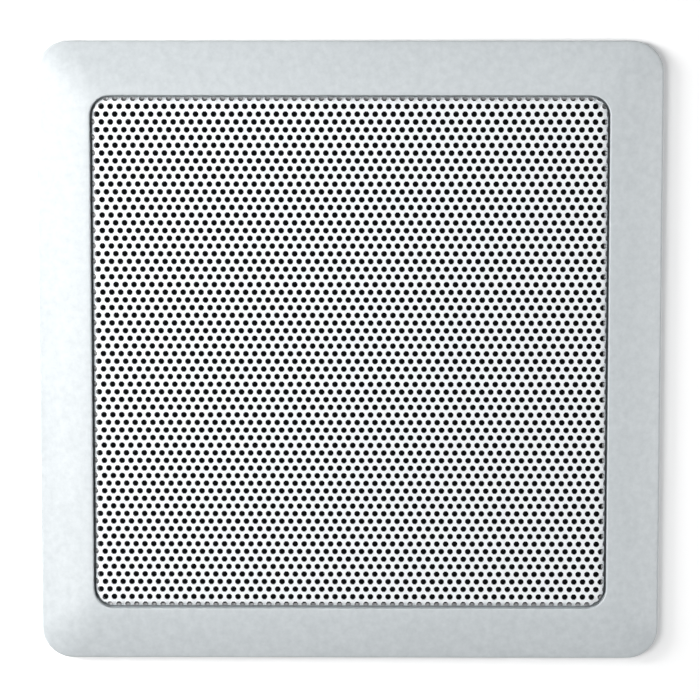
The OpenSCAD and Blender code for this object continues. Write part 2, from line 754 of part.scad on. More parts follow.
// A tab is bent from one strip: its foot lies on the board and its blade points to the rear
module terminal_tab(x, w) {
    translate([x, 0, board_top_z]) difference() {
        translate([-tab_foot_w / 2, board_end_y - board_gap - tab_t, 0])
            cube([tab_foot_w, board_h + board_gap + tab_t - lug_inset, tab_t]);
        translate([0, rivet_y, -cut]) cylinder(d = rivet_d + 2 * rivet_play, h = tab_t + 2 * cut);
    }
    translate([x - w / 2, board_end_y - board_gap - tab_t, board_top_z - tab_l])
        cube([w, tab_t, tab_l + tab_t / 2]);
}

module terminal_positive() {
    color([0.8, 0.75, 0.5]) upright() terminal_tab(-tab_spacing / 2, tab_positive_w);
}

module terminal_negative() {
    color([0.8, 0.8, 0.78]) upright() terminal_tab(tab_spacing / 2, tab_negative_w);
}

// A rivet through a stack that runs from low to high
module terminal_rivet(low, high) {
    translate([0, 0, low]) cylinder(d = rivet_d, h = high - low);
    translate([0, 0, high]) cylinder(d1 = rivet_head_d, d2 = rivet_head_d * head_taper, h = rivet_head_h);
    translate([0, 0, low - rivet_head_h])
        cylinder(d1 = rivet_head_d * head_taper, d2 = rivet_head_d, h = rivet_head_h);
}

module terminal_rivets() {
    color([0.75, 0.75, 0.74]) upright() {
        translate([0, rivet_y, 0]) terminal_rivet(board_z - basket_t, board_top_z);
        for (x = [-tab_spacing / 2, tab_spacing / 2])
            translate([x, rivet_y, 0]) terminal_rivet(board_z, board_top_z + tab_t);
    }
}

// A tube of eight sides along points [y, z] of a curve that stays at one x
module side_tube(path, d) {
    last = len(path) - 1;
    sides = 8;
    rings = [for (k = [0:last]) let (
        along = path[min(k + 1, last)] - path[max(k - 1, 0)],
        across = [-along[1], along[0]] / norm(along))
        for (n = [0:sides - 1]) let (a = 360 * n / sides)
            let (point = path[k] + d / 2 * cos(a) * across)
            [d / 2 * sin(a), point[0], point[1]]];
    skin = [for (k = [0:last - 1]) for (n = [0:sides - 1]) let (m = (n + 1) % sides)
        [k * sides + n, k * sides + m, (k + 1) * sides + m, (k + 1) * sides + n]];
    polyhedron(rings, concat([[for (n = [sides - 1:-1:0]) n]], skin,
        [[for (n = [0:sides - 1]) last * sides + n]]));
}

module tinsel_leads() {
    x = tab_spacing / 2;
    low = [rivet_y + rivet_head_d / 2 + tinsel_gap, board_top_z + tab_t + tinsel_d / 2 + glue_gap];
    end_r = norm([x, tinsel_end_y]);
    end_z = cone_neck_z + (end_r - neck_d / 2) * cone_slope - tinsel_d;
    steps = 12;
    path = [for (k = [0:steps]) let (t = k / steps)
        [low[0] + (-tinsel_end_y - low[0]) * t,
        low[1] + (end_z - low[1]) * t * t - tinsel_sag * sin(180 * t) * t]];
    color([0.75, 0.5, 0.3]) upright() for (side = [-1, 1])
        translate([side * x, 0, 0]) side_tube(path, tinsel_d);
}

bezel_frame();
panel_gasket();
grille();
scrim_cloth();
driver_gasket();
driver_basket();
driver_screws();
trim_ring();
surround();
cone();
whizzer_cone();
dust_cap();
voice_coil_former();
voice_coil();
spider();
top_plate();
magnet();
pole_yoke();
motor_rivets();
terminal_board();
terminal_positive();
terminal_negative();
terminal_rivets();
tinsel_leads();
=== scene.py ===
import math

import bmesh
import bpy
from mathutils import Matrix, Vector
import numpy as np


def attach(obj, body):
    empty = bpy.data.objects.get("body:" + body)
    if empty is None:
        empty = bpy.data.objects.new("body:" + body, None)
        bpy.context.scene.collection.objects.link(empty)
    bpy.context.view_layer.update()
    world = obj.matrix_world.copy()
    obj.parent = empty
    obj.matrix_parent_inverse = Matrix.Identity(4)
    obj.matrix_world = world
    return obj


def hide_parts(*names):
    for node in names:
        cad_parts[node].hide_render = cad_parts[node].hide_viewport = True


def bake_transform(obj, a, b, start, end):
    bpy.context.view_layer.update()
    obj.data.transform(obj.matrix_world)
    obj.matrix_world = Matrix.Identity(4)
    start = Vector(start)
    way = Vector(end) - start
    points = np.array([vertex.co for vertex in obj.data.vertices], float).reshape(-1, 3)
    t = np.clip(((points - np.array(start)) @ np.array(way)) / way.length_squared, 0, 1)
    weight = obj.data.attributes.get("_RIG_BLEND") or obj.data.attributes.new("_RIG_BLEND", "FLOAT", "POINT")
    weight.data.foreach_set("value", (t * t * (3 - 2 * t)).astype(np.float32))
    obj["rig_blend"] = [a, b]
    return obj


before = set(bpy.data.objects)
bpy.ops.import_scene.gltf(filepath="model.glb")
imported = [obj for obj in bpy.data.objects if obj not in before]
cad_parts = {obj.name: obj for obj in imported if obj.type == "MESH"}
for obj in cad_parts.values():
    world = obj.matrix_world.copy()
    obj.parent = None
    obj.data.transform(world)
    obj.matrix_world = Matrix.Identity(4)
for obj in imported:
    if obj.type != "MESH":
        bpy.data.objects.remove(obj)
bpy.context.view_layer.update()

scene = bpy.context.scene
scene.view_settings.view_transform = "Standard"


# The camera looks at the middle of the panel from a little above, about a metre away, with
# a long lens, so that the square frame narrows only slightly towards its foot.
camera_turn = math.radians(0.48)
camera_rise = math.radians(6.88)
camera_far = 1.101
aim = Vector((0, 0, 0.0006))
back = Vector((math.sin(camera_turn) * math.cos(camera_rise),
               -math.cos(camera_turn) * math.cos(camera_rise), math.sin(camera_rise)))
camera_data = bpy.data.cameras.new("camera")
camera_data.lens = 167.1
camera_data.sensor_width = 36
camera = bpy.data.objects.new("camera", camera_data)
camera.matrix_world = (Matrix.Translation(aim + back * camera_far)
                       @ back.to_track_quat("Z", "Y").to_matrix().to_4x4())
scene.collection.objects.link(camera)
scene.camera = camera


# The white wall that the speaker is let into, open behind the bezel so that light also
# reaches its back, and a pale floor below. From behind, the camera sees through the wall.
def white_surface(name, gain, glow, bounce, seen_through):
    """A white matt surface: the camera sees it at gain times its lit brightness, plus a glow."""
    material = bpy.data.materials.new(name)
    material.use_nodes = True
    nodes, links = material.node_tree.nodes, material.node_tree.links
    nodes.clear()
    out = nodes.new("ShaderNodeOutputMaterial")
    matt = nodes.new("ShaderNodeBsdfDiffuse")
    matt.inputs["Color"].default_value = (bounce, bounce, bounce, 1)
    shown = nodes.new("ShaderNodeBsdfDiffuse")
    shown.inputs["Color"].default_value = (gain, gain, gain, 1)
    even = nodes.new("ShaderNodeEmission")
    even.inputs["Strength"].default_value = glow
    both = nodes.new("ShaderNodeAddShader")
    path = nodes.new("ShaderNodeLightPath")
    mix = nodes.new("ShaderNodeMixShader")
    links.new(shown.outputs[0], both.inputs[0])
    links.new(even.outputs[0], both.inputs[1])
    links.new(path.outputs["Is Camera Ray"], mix.inputs[0])
    links.new(matt.outputs[0], mix.inputs[1])
    links.new(both.outputs[0], mix.inputs[2])
    result = mix
    if seen_through:
        geometry = nodes.new("ShaderNodeNewGeometry")
        from_behind = nodes.new("ShaderNodeMath")
        from_behind.operation = "MULTIPLY"
        clear = nodes.new("ShaderNodeBsdfTransparent")
        result = nodes.new("ShaderNodeMixShader")
        links.new(geometry.outputs["Backfacing"], from_behind.inputs[0])
        links.new(path.outputs["Is Camera Ray"], from_behind.inputs[1])
        links.new(from_behind.outputs[0], result.inputs[0])
        links.new(mix.outputs[0], result.inputs[1])
        links.new(clear.outputs[0], result.inputs[2])
    links.new(result.outputs[0], out.inputs["Surface"])
    return material


def add_stage(name, bm, material):
    """Puts the wall or the floor into the scene, apart from the object."""
    mesh = bpy.data.meshes.new(name)
    bm.to_mesh(mesh)
    bm.free()
    mesh.materials.append(material)
    surface = bpy.data.objects.new(name, mesh)
    scene.collection.objects.link(surface)


def fill(bm, edges, facing):
    """Fills the flat area between closed loops, facing up (1) or down (-1)."""
    bmesh.ops.triangle_fill(bm, use_beauty=True, edges=edges, normal=(0, 0, facing))


wall_opening = 0.1042
wall_corner = 0.0103
stage_reach = 3
floor_z = -0.9
bm = bmesh.new()
bmesh.ops.create_circle(bm, segments=4, radius=wall_opening * math.sqrt(2),
                        matrix=Matrix.Rotation(math.pi / 4, 4, "Z"))
bmesh.ops.bevel(bm, geom=bm.verts[:], offset=wall_corner, offset_type="OFFSET", affect="VERTICES",
                segments=8, profile=0.5, material=-1)
bmesh.ops.create_circle(bm, segments=36, radius=stage_reach)
fill(bm, bm.edges[:], 1)
bmesh.ops.rotate(bm, verts=bm.verts, cent=(0, 0, 0), matrix=Matrix.Rotation(math.pi / 2, 3, "X"))
bmesh.ops.translate(bm, verts=bm.verts, vec=(0, 0.0001, 0))
bm.normal_update()
if bm.faces[:][0].normal.y > 0:
    bmesh.ops.reverse_faces(bm, faces=bm.faces)
add_stage("wall", bm, white_surface("wall_white", 1.12, 0, 0.85, True))

bm = bmesh.new()
bmesh.ops.create_grid(bm, x_segments=1, y_segments=1, size=stage_reach)
bmesh.ops.translate(bm, verts=bm.verts, vec=(0, 0, floor_z))
add_stage("floor", bm, white_surface("floor_white", 1, 0.75, 0.35, False))


# Soft studio light: a large panel in front on the left, a second one that rakes across from
# the left, a weaker one on the right, one behind for the driver, and a white surround.
def soft_light(name, at, to, size, watts):
    data = bpy.data.lights.new(name, "AREA")
    data.shape = "SQUARE"
    data.size = size
    data.energy = watts
    lamp = bpy.data.objects.new(name, data)
    away = Vector(at) - Vector(to)
    lamp.matrix_world = Matrix.Translation(Vector(at)) @ away.to_track_quat("Z", "Y").to_matrix().to_4x4()
    scene.collection.objects.link(lamp)


soft_light("light_left", (-0.477, -0.763, 0), (0, 0, 0), 0.5, 4.6)
soft_light("light_raking", (-0.778, -0.379, 0.248), (0, 0, 0), 0.3, 5.6)
soft_light("light_right", (0.735, -0.515, -0.063), (0, 0, 0), 0.5, 3)
soft_light("light_behind", (0.5, 0.8, 0.5), (0, 0.03, 0), 0.5, 12)

world = bpy.data.worlds.new("studio")
scene.world = world
world.use_nodes = True
nodes, links = world.node_tree.nodes, world.node_tree.links
nodes.clear()
world_out = nodes.new("ShaderNodeOutputWorld")
lit = nodes.new("ShaderNodeBackground")
lit.inputs["Color"].default_value = (0.95, 0.97, 1, 1)
lit.inputs["Strength"].default_value = 0.09
seen = nodes.new("ShaderNodeBackground")
seen.inputs["Color"].default_value = (1, 1, 1, 1)
seen.inputs["Strength"].default_value = 1
path = nodes.new("ShaderNodeLightPath")
mix = nodes.new("ShaderNodeMixShader")
shows = path.outputs["Is Camera Ray"]
for ray in ("Is Glossy Ray", "Is Transmission Ray"):
    either = nodes.new("ShaderNodeMath")
    either.operation = "MAXIMUM"
    links.new(shows, either.inputs[0])
    links.new(path.outputs[ray], either.inputs[1])
    shows = either.outputs[0]
links.new(shows, mix.inputs[0])
links.new(lit.outputs[0], mix.inputs[1])
links.new(seen.outputs[0], mix.inputs[2])
links.new(mix.outputs[0], world_out.inputs["Surface"])


# Bezel frame: one injection moulding in pale grey plastic with a finely mottled satin face.
# A crowned bezel runs round the opening for the grille, and behind it are the floor with
# its screw seats, the round well, the driver's seat with its bosses, and the ribs.
panel_half = 105
opening_half = 87
opening_corner = 6.8
panel_corner = 10.5
limb = panel_half - opening_half
bezel_h = 7.5
inner_edge = 0.35
lip_r = 1.3
face_slope = math.radians(7)
crown_slope = math.radians(20)
crown_r = ((limb - inner_edge * (1 + math.sin(face_slope)) - lip_r * (1 - math.sin(crown_slope)))
           / (math.sin(crown_slope) - math.sin(face_slope)))
crown_x = inner_edge - (crown_r - inner_edge) * math.sin(face_slope)
crown_z = bezel_h - inner_edge - (crown_r - inner_edge) * math.cos(face_slope)
corner_centre = opening_half - opening_corner
floor_h = 2.2
ledge_h = 4.6
screw_seat_h = 3.7
well_r = 72.5
well_outer_r = 74.9
seat_at = -8
seat_back_at = -11
seat_hole_r = 62
boss_end = -17
screw_at = 72
driver_screw_ring = 67.75
groove_centre = 94.5
groove_top = 2.5
pocket_in = 89.2
pocket_out = 95.6
pocket_corner = 2.2
rib_step = 2 * pocket_in / 6
rib_half = 0.7


def closed_loop(bm, points):
    """A closed loop of edges through the points."""
    verts = [bm.verts.new(point) for point in points]
    return [bm.edges.new((verts[k - 1], verts[k])) for k in range(len(verts))]


def square_loop(bm, half, corner, height, steps=12):
    """A closed loop of edges, square with round corners, at a height above the panel."""
    points = []
    for quarter, (sx, sy) in enumerate(((1, 1), (-1, 1), (-1, -1), (1, -1))):
        for k in range(steps + 1):
            turn = math.radians(90 * (quarter + k / steps))
            points.append((sx * (half - corner) + corner * math.cos(turn),
                           sy * (half - corner) + corner * math.sin(turn), height))
    return closed_loop(bm, points)


def square_loops(bm, centre, profile):
    """Square loops whose corners share their centres, one for each corner radius and height."""
    return [square_loop(bm, centre + corner, corner, height) for corner, height in profile]


def round_loop(bm, radius, height, at=(0, 0), steps=96):
    """A closed round loop of edges at a height above the panel."""
    made = bmesh.ops.create_circle(bm, segments=steps, radius=radius,
                                   matrix=Matrix.Translation((at[0], at[1], height)))
    ring = set(made["verts"])
    return [e for e in bm.edges if e.verts[0] in ring and e.verts[1] in ring]


def round_loops(bm, profile, at=(0, 0), steps=96):
    """Round loops about one axis, one for each radius and height."""
    return [round_loop(bm, radius, height, at, steps) for radius, height in profile]


def on_diagonal(k, radius):
    """One of four places on the diagonals, at a radius from the driver's axis."""
    turn = math.radians(45 + 90 * k)
    return radius * math.cos(turn), radius * math.sin(turn)


def skin(bm, loops):
    """Joins each loop to the next with a band of faces. A loop level with the one before it
    is lifted while they are joined, so that both are read in the same direction."""
    for a, b in zip(loops, loops[1:]):
        lift = 5 if abs(a[0].verts[0].co.z - b[0].verts[0].co.z) < 0.01 else 0
        lifted = list({v for e in b for v in e.verts})
        bmesh.ops.translate(bm, verts=lifted, vec=(0, 0, lift))
        bmesh.ops.bridge_loops(bm, edges=a + b)
        bmesh.ops.translate(bm, verts=lifted, vec=(0, 0, -lift))


def place(bm, name, material, body, nodes, sharp=35):
    """Turns a drawing, in plan and in millimetres, to upright and metres, closes it, and hands
    it to the frame in place of its CAD nodes."""
    bmesh.ops.rotate(bm, verts=bm.verts, cent=(0, 0, 0), matrix=Matrix.Rotation(math.pi / 2, 3, "X"))
    bmesh.ops.scale(bm, verts=bm.verts, vec=(0.001, 0.001, 0.001))
    bmesh.ops.remove_doubles(bm, verts=bm.verts, dist=0.000002)
    bmesh.ops.delete(bm, geom=[e for e in bm.edges if not e.link_faces], context="EDGES")
    bmesh.ops.recalc_face_normals(bm, faces=bm.faces)
    bm.normal_update()
    for face in bm.faces:
        face.smooth = True
    for edge in bm.edges:
        edge.smooth = len(edge.link_faces) == 2 and edge.calc_face_angle(0) < math.radians(sharp)
    mesh = bpy.data.meshes.new(name)
    bm.to_mesh(mesh)
    bm.free()
    mesh.materials.append(material)
    piece = bpy.data.objects.new(name, mesh)
    scene.collection.objects.link(piece)
    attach(piece, body)
    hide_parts(*nodes)
    return piece


def crown_height(x):
    """Height of the bezel's face at x millimetres outward from the opening."""
    return crown_z + math.sqrt(crown_r ** 2 - (x - crown_x) ** 2)


def limb_loop(bm, x, height):
    """A loop on the bezel: its corners grow from the opening's radius to the panel's."""
    corner = opening_corner + (panel_corner - opening_corner) * x / limb
    return square_loop(bm, opening_half + x, corner, height)


bm = bmesh.new()
lip_x = crown_x + (crown_r - lip_r) * math.sin(crown_slope)
lip_y = crown_z + (crown_r - lip_r) * math.cos(crown_slope)
lip_turn = math.pi / 2 - crown_slope
face_loops = [limb_loop(bm, limb - 0.3, 0), limb_loop(bm, limb, 0.3)]
for k in range(9):
    turn = lip_turn * k / 8
    face_loops.append(limb_loop(bm, lip_x + lip_r * math.cos(turn), lip_y + lip_r * math.sin(turn)))
face_start = lip_x + lip_r * math.cos(lip_turn)
face_end = inner_edge * (1 + math.sin(face_slope))
for k in range(1, 12):
    x = face_start + (face_end - face_start) * k / 12
    face_loops.append(limb_loop(bm, x, crown_height(x)))
for k in range(6):
    turn = math.pi / 2 - face_slope + (math.pi / 2 + face_slope) * k / 5
    face_loops.append(limb_loop(bm, inner_edge + inner_edge * math.cos(turn),
                                bezel_h - inner_edge + inner_edge * math.sin(turn)))
face_loops += square_loops(bm, corner_centre, (
    (opening_corner, floor_h + 0.4), (6.68, floor_h + 0.12), (6.4, floor_h), (5.05, floor_h),
    (5.05, ledge_h - 0.2), (4.85, ledge_h), (3.85, ledge_h), (3.65, ledge_h - 0.2), (3.65, floor_h)))
skin(bm, face_loops)

well_top = round_loop(bm, well_r, floor_h)
floor_edges = face_loops[-1] + well_top
back_edges = []
for sx in (-1, 1):
    for sy in (-1, 1):
        seat = round_loops(bm, ((6.5, floor_h), (6.5, screw_seat_h - 0.2), (6.3, screw_seat_h),
                                (2.5, screw_seat_h), (2.3, screw_seat_h - 0.2), (2.3, 0)),
                           (sx * screw_at, sy * screw_at), 32)
        skin(bm, seat)
        floor_edges += seat[0]
        back_edges += seat[-1]
fill(bm, floor_edges, 1)

well = [well_top] + round_loops(bm, (
    (well_r, seat_at), (seat_hole_r + 0.3, seat_at), (seat_hole_r, seat_at - 0.3),
    (seat_hole_r, seat_back_at + 0.3), (seat_hole_r + 0.3, seat_back_at)))
skin(bm, well)
well_outside = round_loops(bm, ((well_outer_r - 0.4, seat_back_at), (well_outer_r, seat_back_at + 0.4),
                                (well_outer_r, -0.6), (well_outer_r + 0.2, -0.15), (well_outer_r + 0.6, 0)))
skin(bm, well_outside)
seat_edges = well[-1] + well_outside[0]
for k in range(4):
    boss = round_loops(bm, ((4.5, seat_back_at), (4.1, seat_back_at - 0.4), (4, boss_end + 0.3),
                            (3.7, boss_end), (1.7, boss_end), (1.5, boss_end + 0.2), (1.5, -9)),
                       on_diagonal(k, driver_screw_ring), 32)
    skin(bm, boss)
    bmesh.ops.holes_fill(bm, edges=boss[-1])
    seat_edges += boss[0]
fill(bm, seat_edges, -1)

groove = square_loops(bm, groove_centre, ((2.5, 0), (2.5, groove_top), (8.5, groove_top), (8.5, 0)))
skin(bm, groove + face_loops[:1])
back_edges += groove[0] + well_outside[-1]
hollow_top = crown_height(8.6) - 2.3


def pocket(bm, corners):
    """A straight-walled pocket up from the rear face, and the edges of its mouth."""
    rings = [closed_loop(bm, [(x, y, height) for x, y in corners]) for height in (0, hollow_top)]
    skin(bm, rings)
    bmesh.ops.holes_fill(bm, edges=rings[1])
    return rings[0]


def arc(centre, radius, start, end, steps):
    """Points of an arc in the plane of its centre, with its angles in degrees."""
    turns = [math.radians(start + (end - start) * k / steps) for k in range(steps + 1)]
    return [(centre[0] + radius * math.cos(turn), centre[1] + radius * math.sin(turn)) for turn in turns]


for quarter in range(4):
    turn = Matrix.Rotation(math.radians(90 * quarter), 2)
    for k in range(1, 5):
        low = k * rib_step - pocket_in + rib_half
        high = (k + 1) * rib_step - pocket_in - rib_half
        corners = ((pocket_in, low), (pocket_out, low), (pocket_out, high), (pocket_in, high))
        back_edges += pocket(bm, [turn @ Vector(p) for p in corners])
    start = 5 * rib_step - pocket_in + rib_half
    rounded = pocket_out - pocket_corner
    corners = ([(pocket_out, start)] + arc((rounded, rounded), pocket_corner, 0, 90, 6)
               + [(start, pocket_out), (start, pocket_in)]
               + arc((corner_centre, corner_centre), pocket_in - corner_centre, 90, 0, 9)
               + [(pocket_in, start)])
    back_edges += pocket(bm, [turn @ Vector(p) for p in corners])
fill(bm, back_edges, -1)

# Eight centring ribs round the well, and a crush rib for each in the channel, which grips the grille
centring_rib = Matrix.Translation((well_outer_r + 0.6, 0, -5.2)) @ Matrix.Diagonal((2.4, 2.4, 11.4, 1))
for k in range(8):
    around = Matrix.Rotation(math.radians(22.5 + 45 * k), 4, "Z")
    rib = bmesh.ops.create_cube(bm, size=1, matrix=around @ centring_rib)
    edges = list(dict.fromkeys(e for v in rib["verts"] for e in v.link_edges))
    bmesh.ops.bevel(bm, geom=edges, offset=0.25, offset_type="OFFSET", affect="EDGES", segments=2,
                    profile=0.5, material=-1)
    turn = Matrix.Rotation(math.radians(90 * (k // 2)), 4, "Z")
    bmesh.ops.create_cone(bm, cap_ends=True, segments=16, radius1=0.6, radius2=0.6, depth=2.45,
                          matrix=turn @ Matrix.Translation((84.85, 45 * (-1) ** k, 3.325)))


def shader(name, **sockets):
    """A material with a Principled BSDF, and its nodes and links for what follows."""
    material = bpy.data.materials.new(name)
    material.use_nodes = True
    bsdf = material.node_tree.nodes["Principled BSDF"]
    for socket, value in sockets.items():
        bsdf.inputs[socket.replace("_", " ")].default_value = value
    return material, bsdf, material.node_tree.nodes, material.node_tree.links


def new_group(name, inputs, outputs):
    """A node group with these sockets, its nodes and links, and its two end nodes."""
    group = bpy.data.node_groups.new(name, "ShaderNodeTree")
    for label, kind, value in inputs:
        socket = group.interface.new_socket(label, in_out="INPUT", socket_type="NodeSocket" + kind)
        socket.default_value = value
    for label, kind in outputs:
        group.interface.new_socket(label, in_out="OUTPUT", socket_type="NodeSocket" + kind)
    nodes = group.nodes
    return group, nodes, group.links, nodes.new("NodeGroupInput"), nodes.new("NodeGroupOutput")


def grain_group():
    """Fine cloudy grain on object coordinates: a value from 0 to 1 and a colour mixed by it."""
    group, nodes, links, given, out = new_group(
        "grain", (("Scale", "Float", 900), ("Detail", "Float", 3), ("Dark", "Color", (0, 0, 0, 1)),
                  ("Light", "Color", (1, 1, 1, 1)), ("Stretch", "Vector", (1, 1, 1))),
        (("Color", "Color"), ("Value", "Float")))
    place_at = nodes.new("ShaderNodeTexCoord")
    scaled = nodes.new("ShaderNodeVectorMath")
    scaled.operation = "MULTIPLY"
    noise = nodes.new("ShaderNodeTexNoise")
    noise.inputs["Roughness"].default_value = 0.6
    spread = nodes.new("ShaderNodeMapRange")
    spread.inputs["From Min"].default_value = 0.3
    spread.inputs["From Max"].default_value = 0.7
    mixed = nodes.new("ShaderNodeMix")
    mixed.data_type = "RGBA"
    links.new(place_at.outputs["Object"], scaled.inputs[0])
    links.new(given.outputs["Stretch"], scaled.inputs[1])
    links.new(scaled.outputs[0], noise.inputs["Vector"])
    links.new(given.outputs["Scale"], noise.inputs["Scale"])
    links.new(given.outputs["Detail"], noise.inputs["Detail"])
    links.new(noise.outputs["Fac"], spread.inputs["Value"])
    links.new(spread.outputs[0], mixed.inputs["Factor"])
    links.new(given.outputs["Dark"], mixed.inputs["A"])
    links.new(given.outputs["Light"], mixed.inputs["B"])
    links.new(mixed.outputs["Result"], out.inputs["Color"])
    links.new(spread.outputs[0], out.inputs["Value"])
    return group


grain = grain_group()


def add_grain(nodes, scale, dark=(0, 0, 0), light=(1, 1, 1), detail=3, stretch=(1, 1, 1)):
    """Puts the grain group into a material with its own values."""
    node = nodes.new("ShaderNodeGroup")
    node.node_tree = grain
    node.inputs["Scale"].default_value = scale
    node.inputs["Detail"].default_value = detail
    node.inputs["Dark"].default_value = (*dark, 1)
    node.inputs["Light"].default_value = (*light, 1)
    node.inputs["Stretch"].default_value = stretch
    return node


def add_bump(nodes, links, bsdf, height, depth, strength=1.0):
    """Raises the surface by height times depth, in metres."""
    bump = nodes.new("ShaderNodeBump")
    bump.inputs["Strength"].default_value = strength
    bump.inputs["Distance"].default_value = depth
    links.new(height, bump.inputs["Height"])
    links.new(bump.outputs[0], bsdf.inputs["Normal"])


def grained(name, tone, depth, strength, relief=None, **sockets):
    """A material whose colour is a grain: its scale, dark, light, detail and stretch. The same
    grain raises the surface, or a second one does, given by its scale and detail."""
    material, bsdf, nodes, links = shader(name, **sockets)
    node = add_grain(nodes, *tone)
    links.new(node.outputs["Color"], bsdf.inputs["Base Color"])
    if relief:
        node = add_grain(nodes, relief[0], detail=relief[1])
    add_bump(nodes, links, bsdf, node.outputs["Value"], depth, strength)
    return material


frame_plastic = grained("frame_plastic", (420, (0.57, 0.61, 0.628), (0.655, 0.695, 0.714), 4),
                        0.00003, 0.4, (1600, 2), Roughness=0.36, Specular_IOR_Level=0.6)
place(bm, "bezel", frame_plastic, "frame", ["bezel_frame"])


# Grille: one sheet of white coated steel, 0.8 mm thick, punched with round holes of 2 mm on
# a staggered 3 mm grid, and its four edges rolled over into a skirt. The hole walls are dark
# grey, painted shade inside the holes. It is pressed into the channel behind the bezel, its grid a little
# off centre.
hole_pitch = 3
row_pitch = hole_pitch * math.sqrt(3) / 2
hole_r = 1
grid_x = -0.51
grid_y = 2.78
first_row, last_row = -34, 32
first_hole, last_hole = -28, 29
flat_half = 84.3
bend_centre = corner_centre
flat_corner = flat_half - bend_centre
roll_r = 2
sheet_t = 0.8
grille_face = 7.3
skirt_end = 2.5
bend_length = (roll_r - sheet_t / 2) * math.pi / 2
sheet_half = flat_half + bend_length + grille_face - roll_r - skirt_end


def past_bend(x, y):
    """How far a point of the flat sheet lies outside the line where the roll begins."""
    dx, dy = max(abs(x) - bend_centre, 0), max(abs(y) - bend_centre, 0)
    return math.hypot(dx, dy) - flat_corner


def leaning_cell(bm, at, capped):
    """The outline of one cell of the staggered grid: its upper side leans half a pitch."""
    corners = [(-2.25, -0.5), (0.75, -0.5), (2.25, 0.5), (-0.75, 0.5)]
    points = [(at[0] + x * hole_pitch / 3, at[1] + y * row_pitch, 0) for x, y in corners]
    if capped:
        bmesh.ops.contextual_create(bm, geom=[bm.verts.new(point) for point in points])
    else:
        closed_loop(bm, points)


def shifted_copy(bm, geom, by):
    """Copies part of the sheet and moves the copy."""
    made = bmesh.ops.duplicate(bm, geom=geom)["geom"]
    bmesh.ops.translate(bm, verts=[g for g in made if isinstance(g, bmesh.types.BMVert)], vec=by)


def with_edges(faces):
    """The faces with their edges and corners, as an operator takes them."""
    edges = [e for f in faces for e in f.edges]
    return list(dict.fromkeys(faces + edges + [v for f in faces for v in f.verts]))


bm = bmesh.new()
leaning_cell(bm, (0, 0), False)
bmesh.ops.create_circle(bm, segments=8, radius=hole_r * 1.03,
                        matrix=Matrix.Rotation(math.radians(22.5), 4, "Z"))
bmesh.ops.bridge_loops(bm, edges=bm.edges[:])
cell = bm.verts[:] + bm.edges[:] + bm.faces[:]
for k in range(1, last_hole - first_hole + 1):
    shifted_copy(bm, cell, (k * hole_pitch, 0, 0))
bmesh.ops.translate(bm, verts=bm.verts, vec=(grid_x + first_hole * hole_pitch, grid_y, 0))
row = bm.verts[:] + bm.edges[:] + bm.faces[:]
for k in range(first_row, last_row + 1):
    if k:
        shifted_copy(bm, row, (-hole_pitch / 2 * (k % 2), k * row_pitch, 0))
bmesh.ops.remove_doubles(bm, verts=bm.verts, dist=0.01)
margin = bmesh.new()
for k in range(first_row - 3, last_row + 4):
    for i in range(-32, 33):
        if not (first_row <= k <= last_row and first_hole - k % 2 <= i <= last_hole - k % 2):
            leaning_cell(margin, ((i + k % 2 / 2) * hole_pitch + grid_x, k * row_pitch + grid_y), True)
margin_mesh = bpy.data.meshes.new("margin")
margin.to_mesh(margin_mesh)
margin.free()
bm.from_mesh(margin_mesh)
bpy.data.meshes.remove(margin_mesh)
bmesh.ops.remove_doubles(bm, verts=bm.verts, dist=0.01)
far_holes = [e for e in bm.edges if e.is_boundary and past_bend(*e.verts[0].co.xy) > 2.5
             and max(abs(e.verts[0].co.x), abs(e.verts[0].co.y)) < 89]
bmesh.ops.holes_fill(bm, edges=far_holes)
for axis in range(4):
    turn = Matrix.Rotation(math.radians(90 * axis), 3, "Z")
    side = turn @ Vector((1, 0, 0))
    bmesh.ops.bisect_plane(bm, geom=bm.verts[:] + bm.edges[:] + bm.faces[:], plane_co=side * sheet_half,
                           plane_no=side, clear_outer=True)
    for at in (flat_half + 0.3, flat_half + 2.2):
        near = [f for f in bm.faces if abs(f.calc_center_median() @ side - at) < 2]
        bmesh.ops.bisect_plane(bm, geom=with_edges(near), plane_co=side * at, plane_no=side)
    middle = turn @ Vector((bend_centre, bend_centre, 0))
    for k in range(8):
        lean = math.radians(5.6 + 11.25 * k)
        out = turn @ Vector((math.cos(lean), math.sin(lean), 0))
        near = [f for f in bm.faces if (f.calc_center_median() - middle) @ side > -4
                and (f.calc_center_median() - middle) @ out > 2]
        bmesh.ops.bisect_plane(bm, geom=with_edges(near), plane_no=out, clear_outer=True,
                               plane_co=middle + out * (sheet_half - bend_centre))
bmesh.ops.remove_doubles(bm, verts=bm.verts, dist=0.01)
made = bmesh.ops.extrude_face_region(bm, geom=bm.faces[:], use_keep_orig=True)["geom"]
bmesh.ops.translate(bm, verts=[g for g in made if isinstance(g, bmesh.types.BMVert)], vec=(0, 0, -sheet_t))
bm.normal_update()
for face in bm.faces:
    # Upright faces, the hole walls and the cut edges, take the second slot: dark grey, painted shade inside
    # the holes.
    face.material_index = 1 if abs(face.normal.z) < 0.5 else 0
for v in bm.verts:
    s = past_bend(v.co.x, v.co.y)
    centre = Vector((max(min(v.co.x, bend_centre), -bend_centre),
                     max(min(v.co.y, bend_centre), -bend_centre), v.co.z))
    radius = roll_r + v.co.z
    turn = max(min(s / bend_length, 1), 0) * math.pi / 2
    if s > 0:
        v.co = centre + (v.co - centre).normalized() * (flat_corner + radius * math.sin(turn))
    v.co.z = grille_face - roll_r + radius * math.cos(turn) - max(s - bend_length, 0)
grille_paint = grained("grille_paint", (500, (0.88, 0.91, 0.935), (0.94, 0.965, 0.98), 3),
                       0.00002, 0.4, (1400, 2), Roughness=0.38)
grille = place(bm, "grille_sheet", grille_paint, "frame", ["grille"], 40)
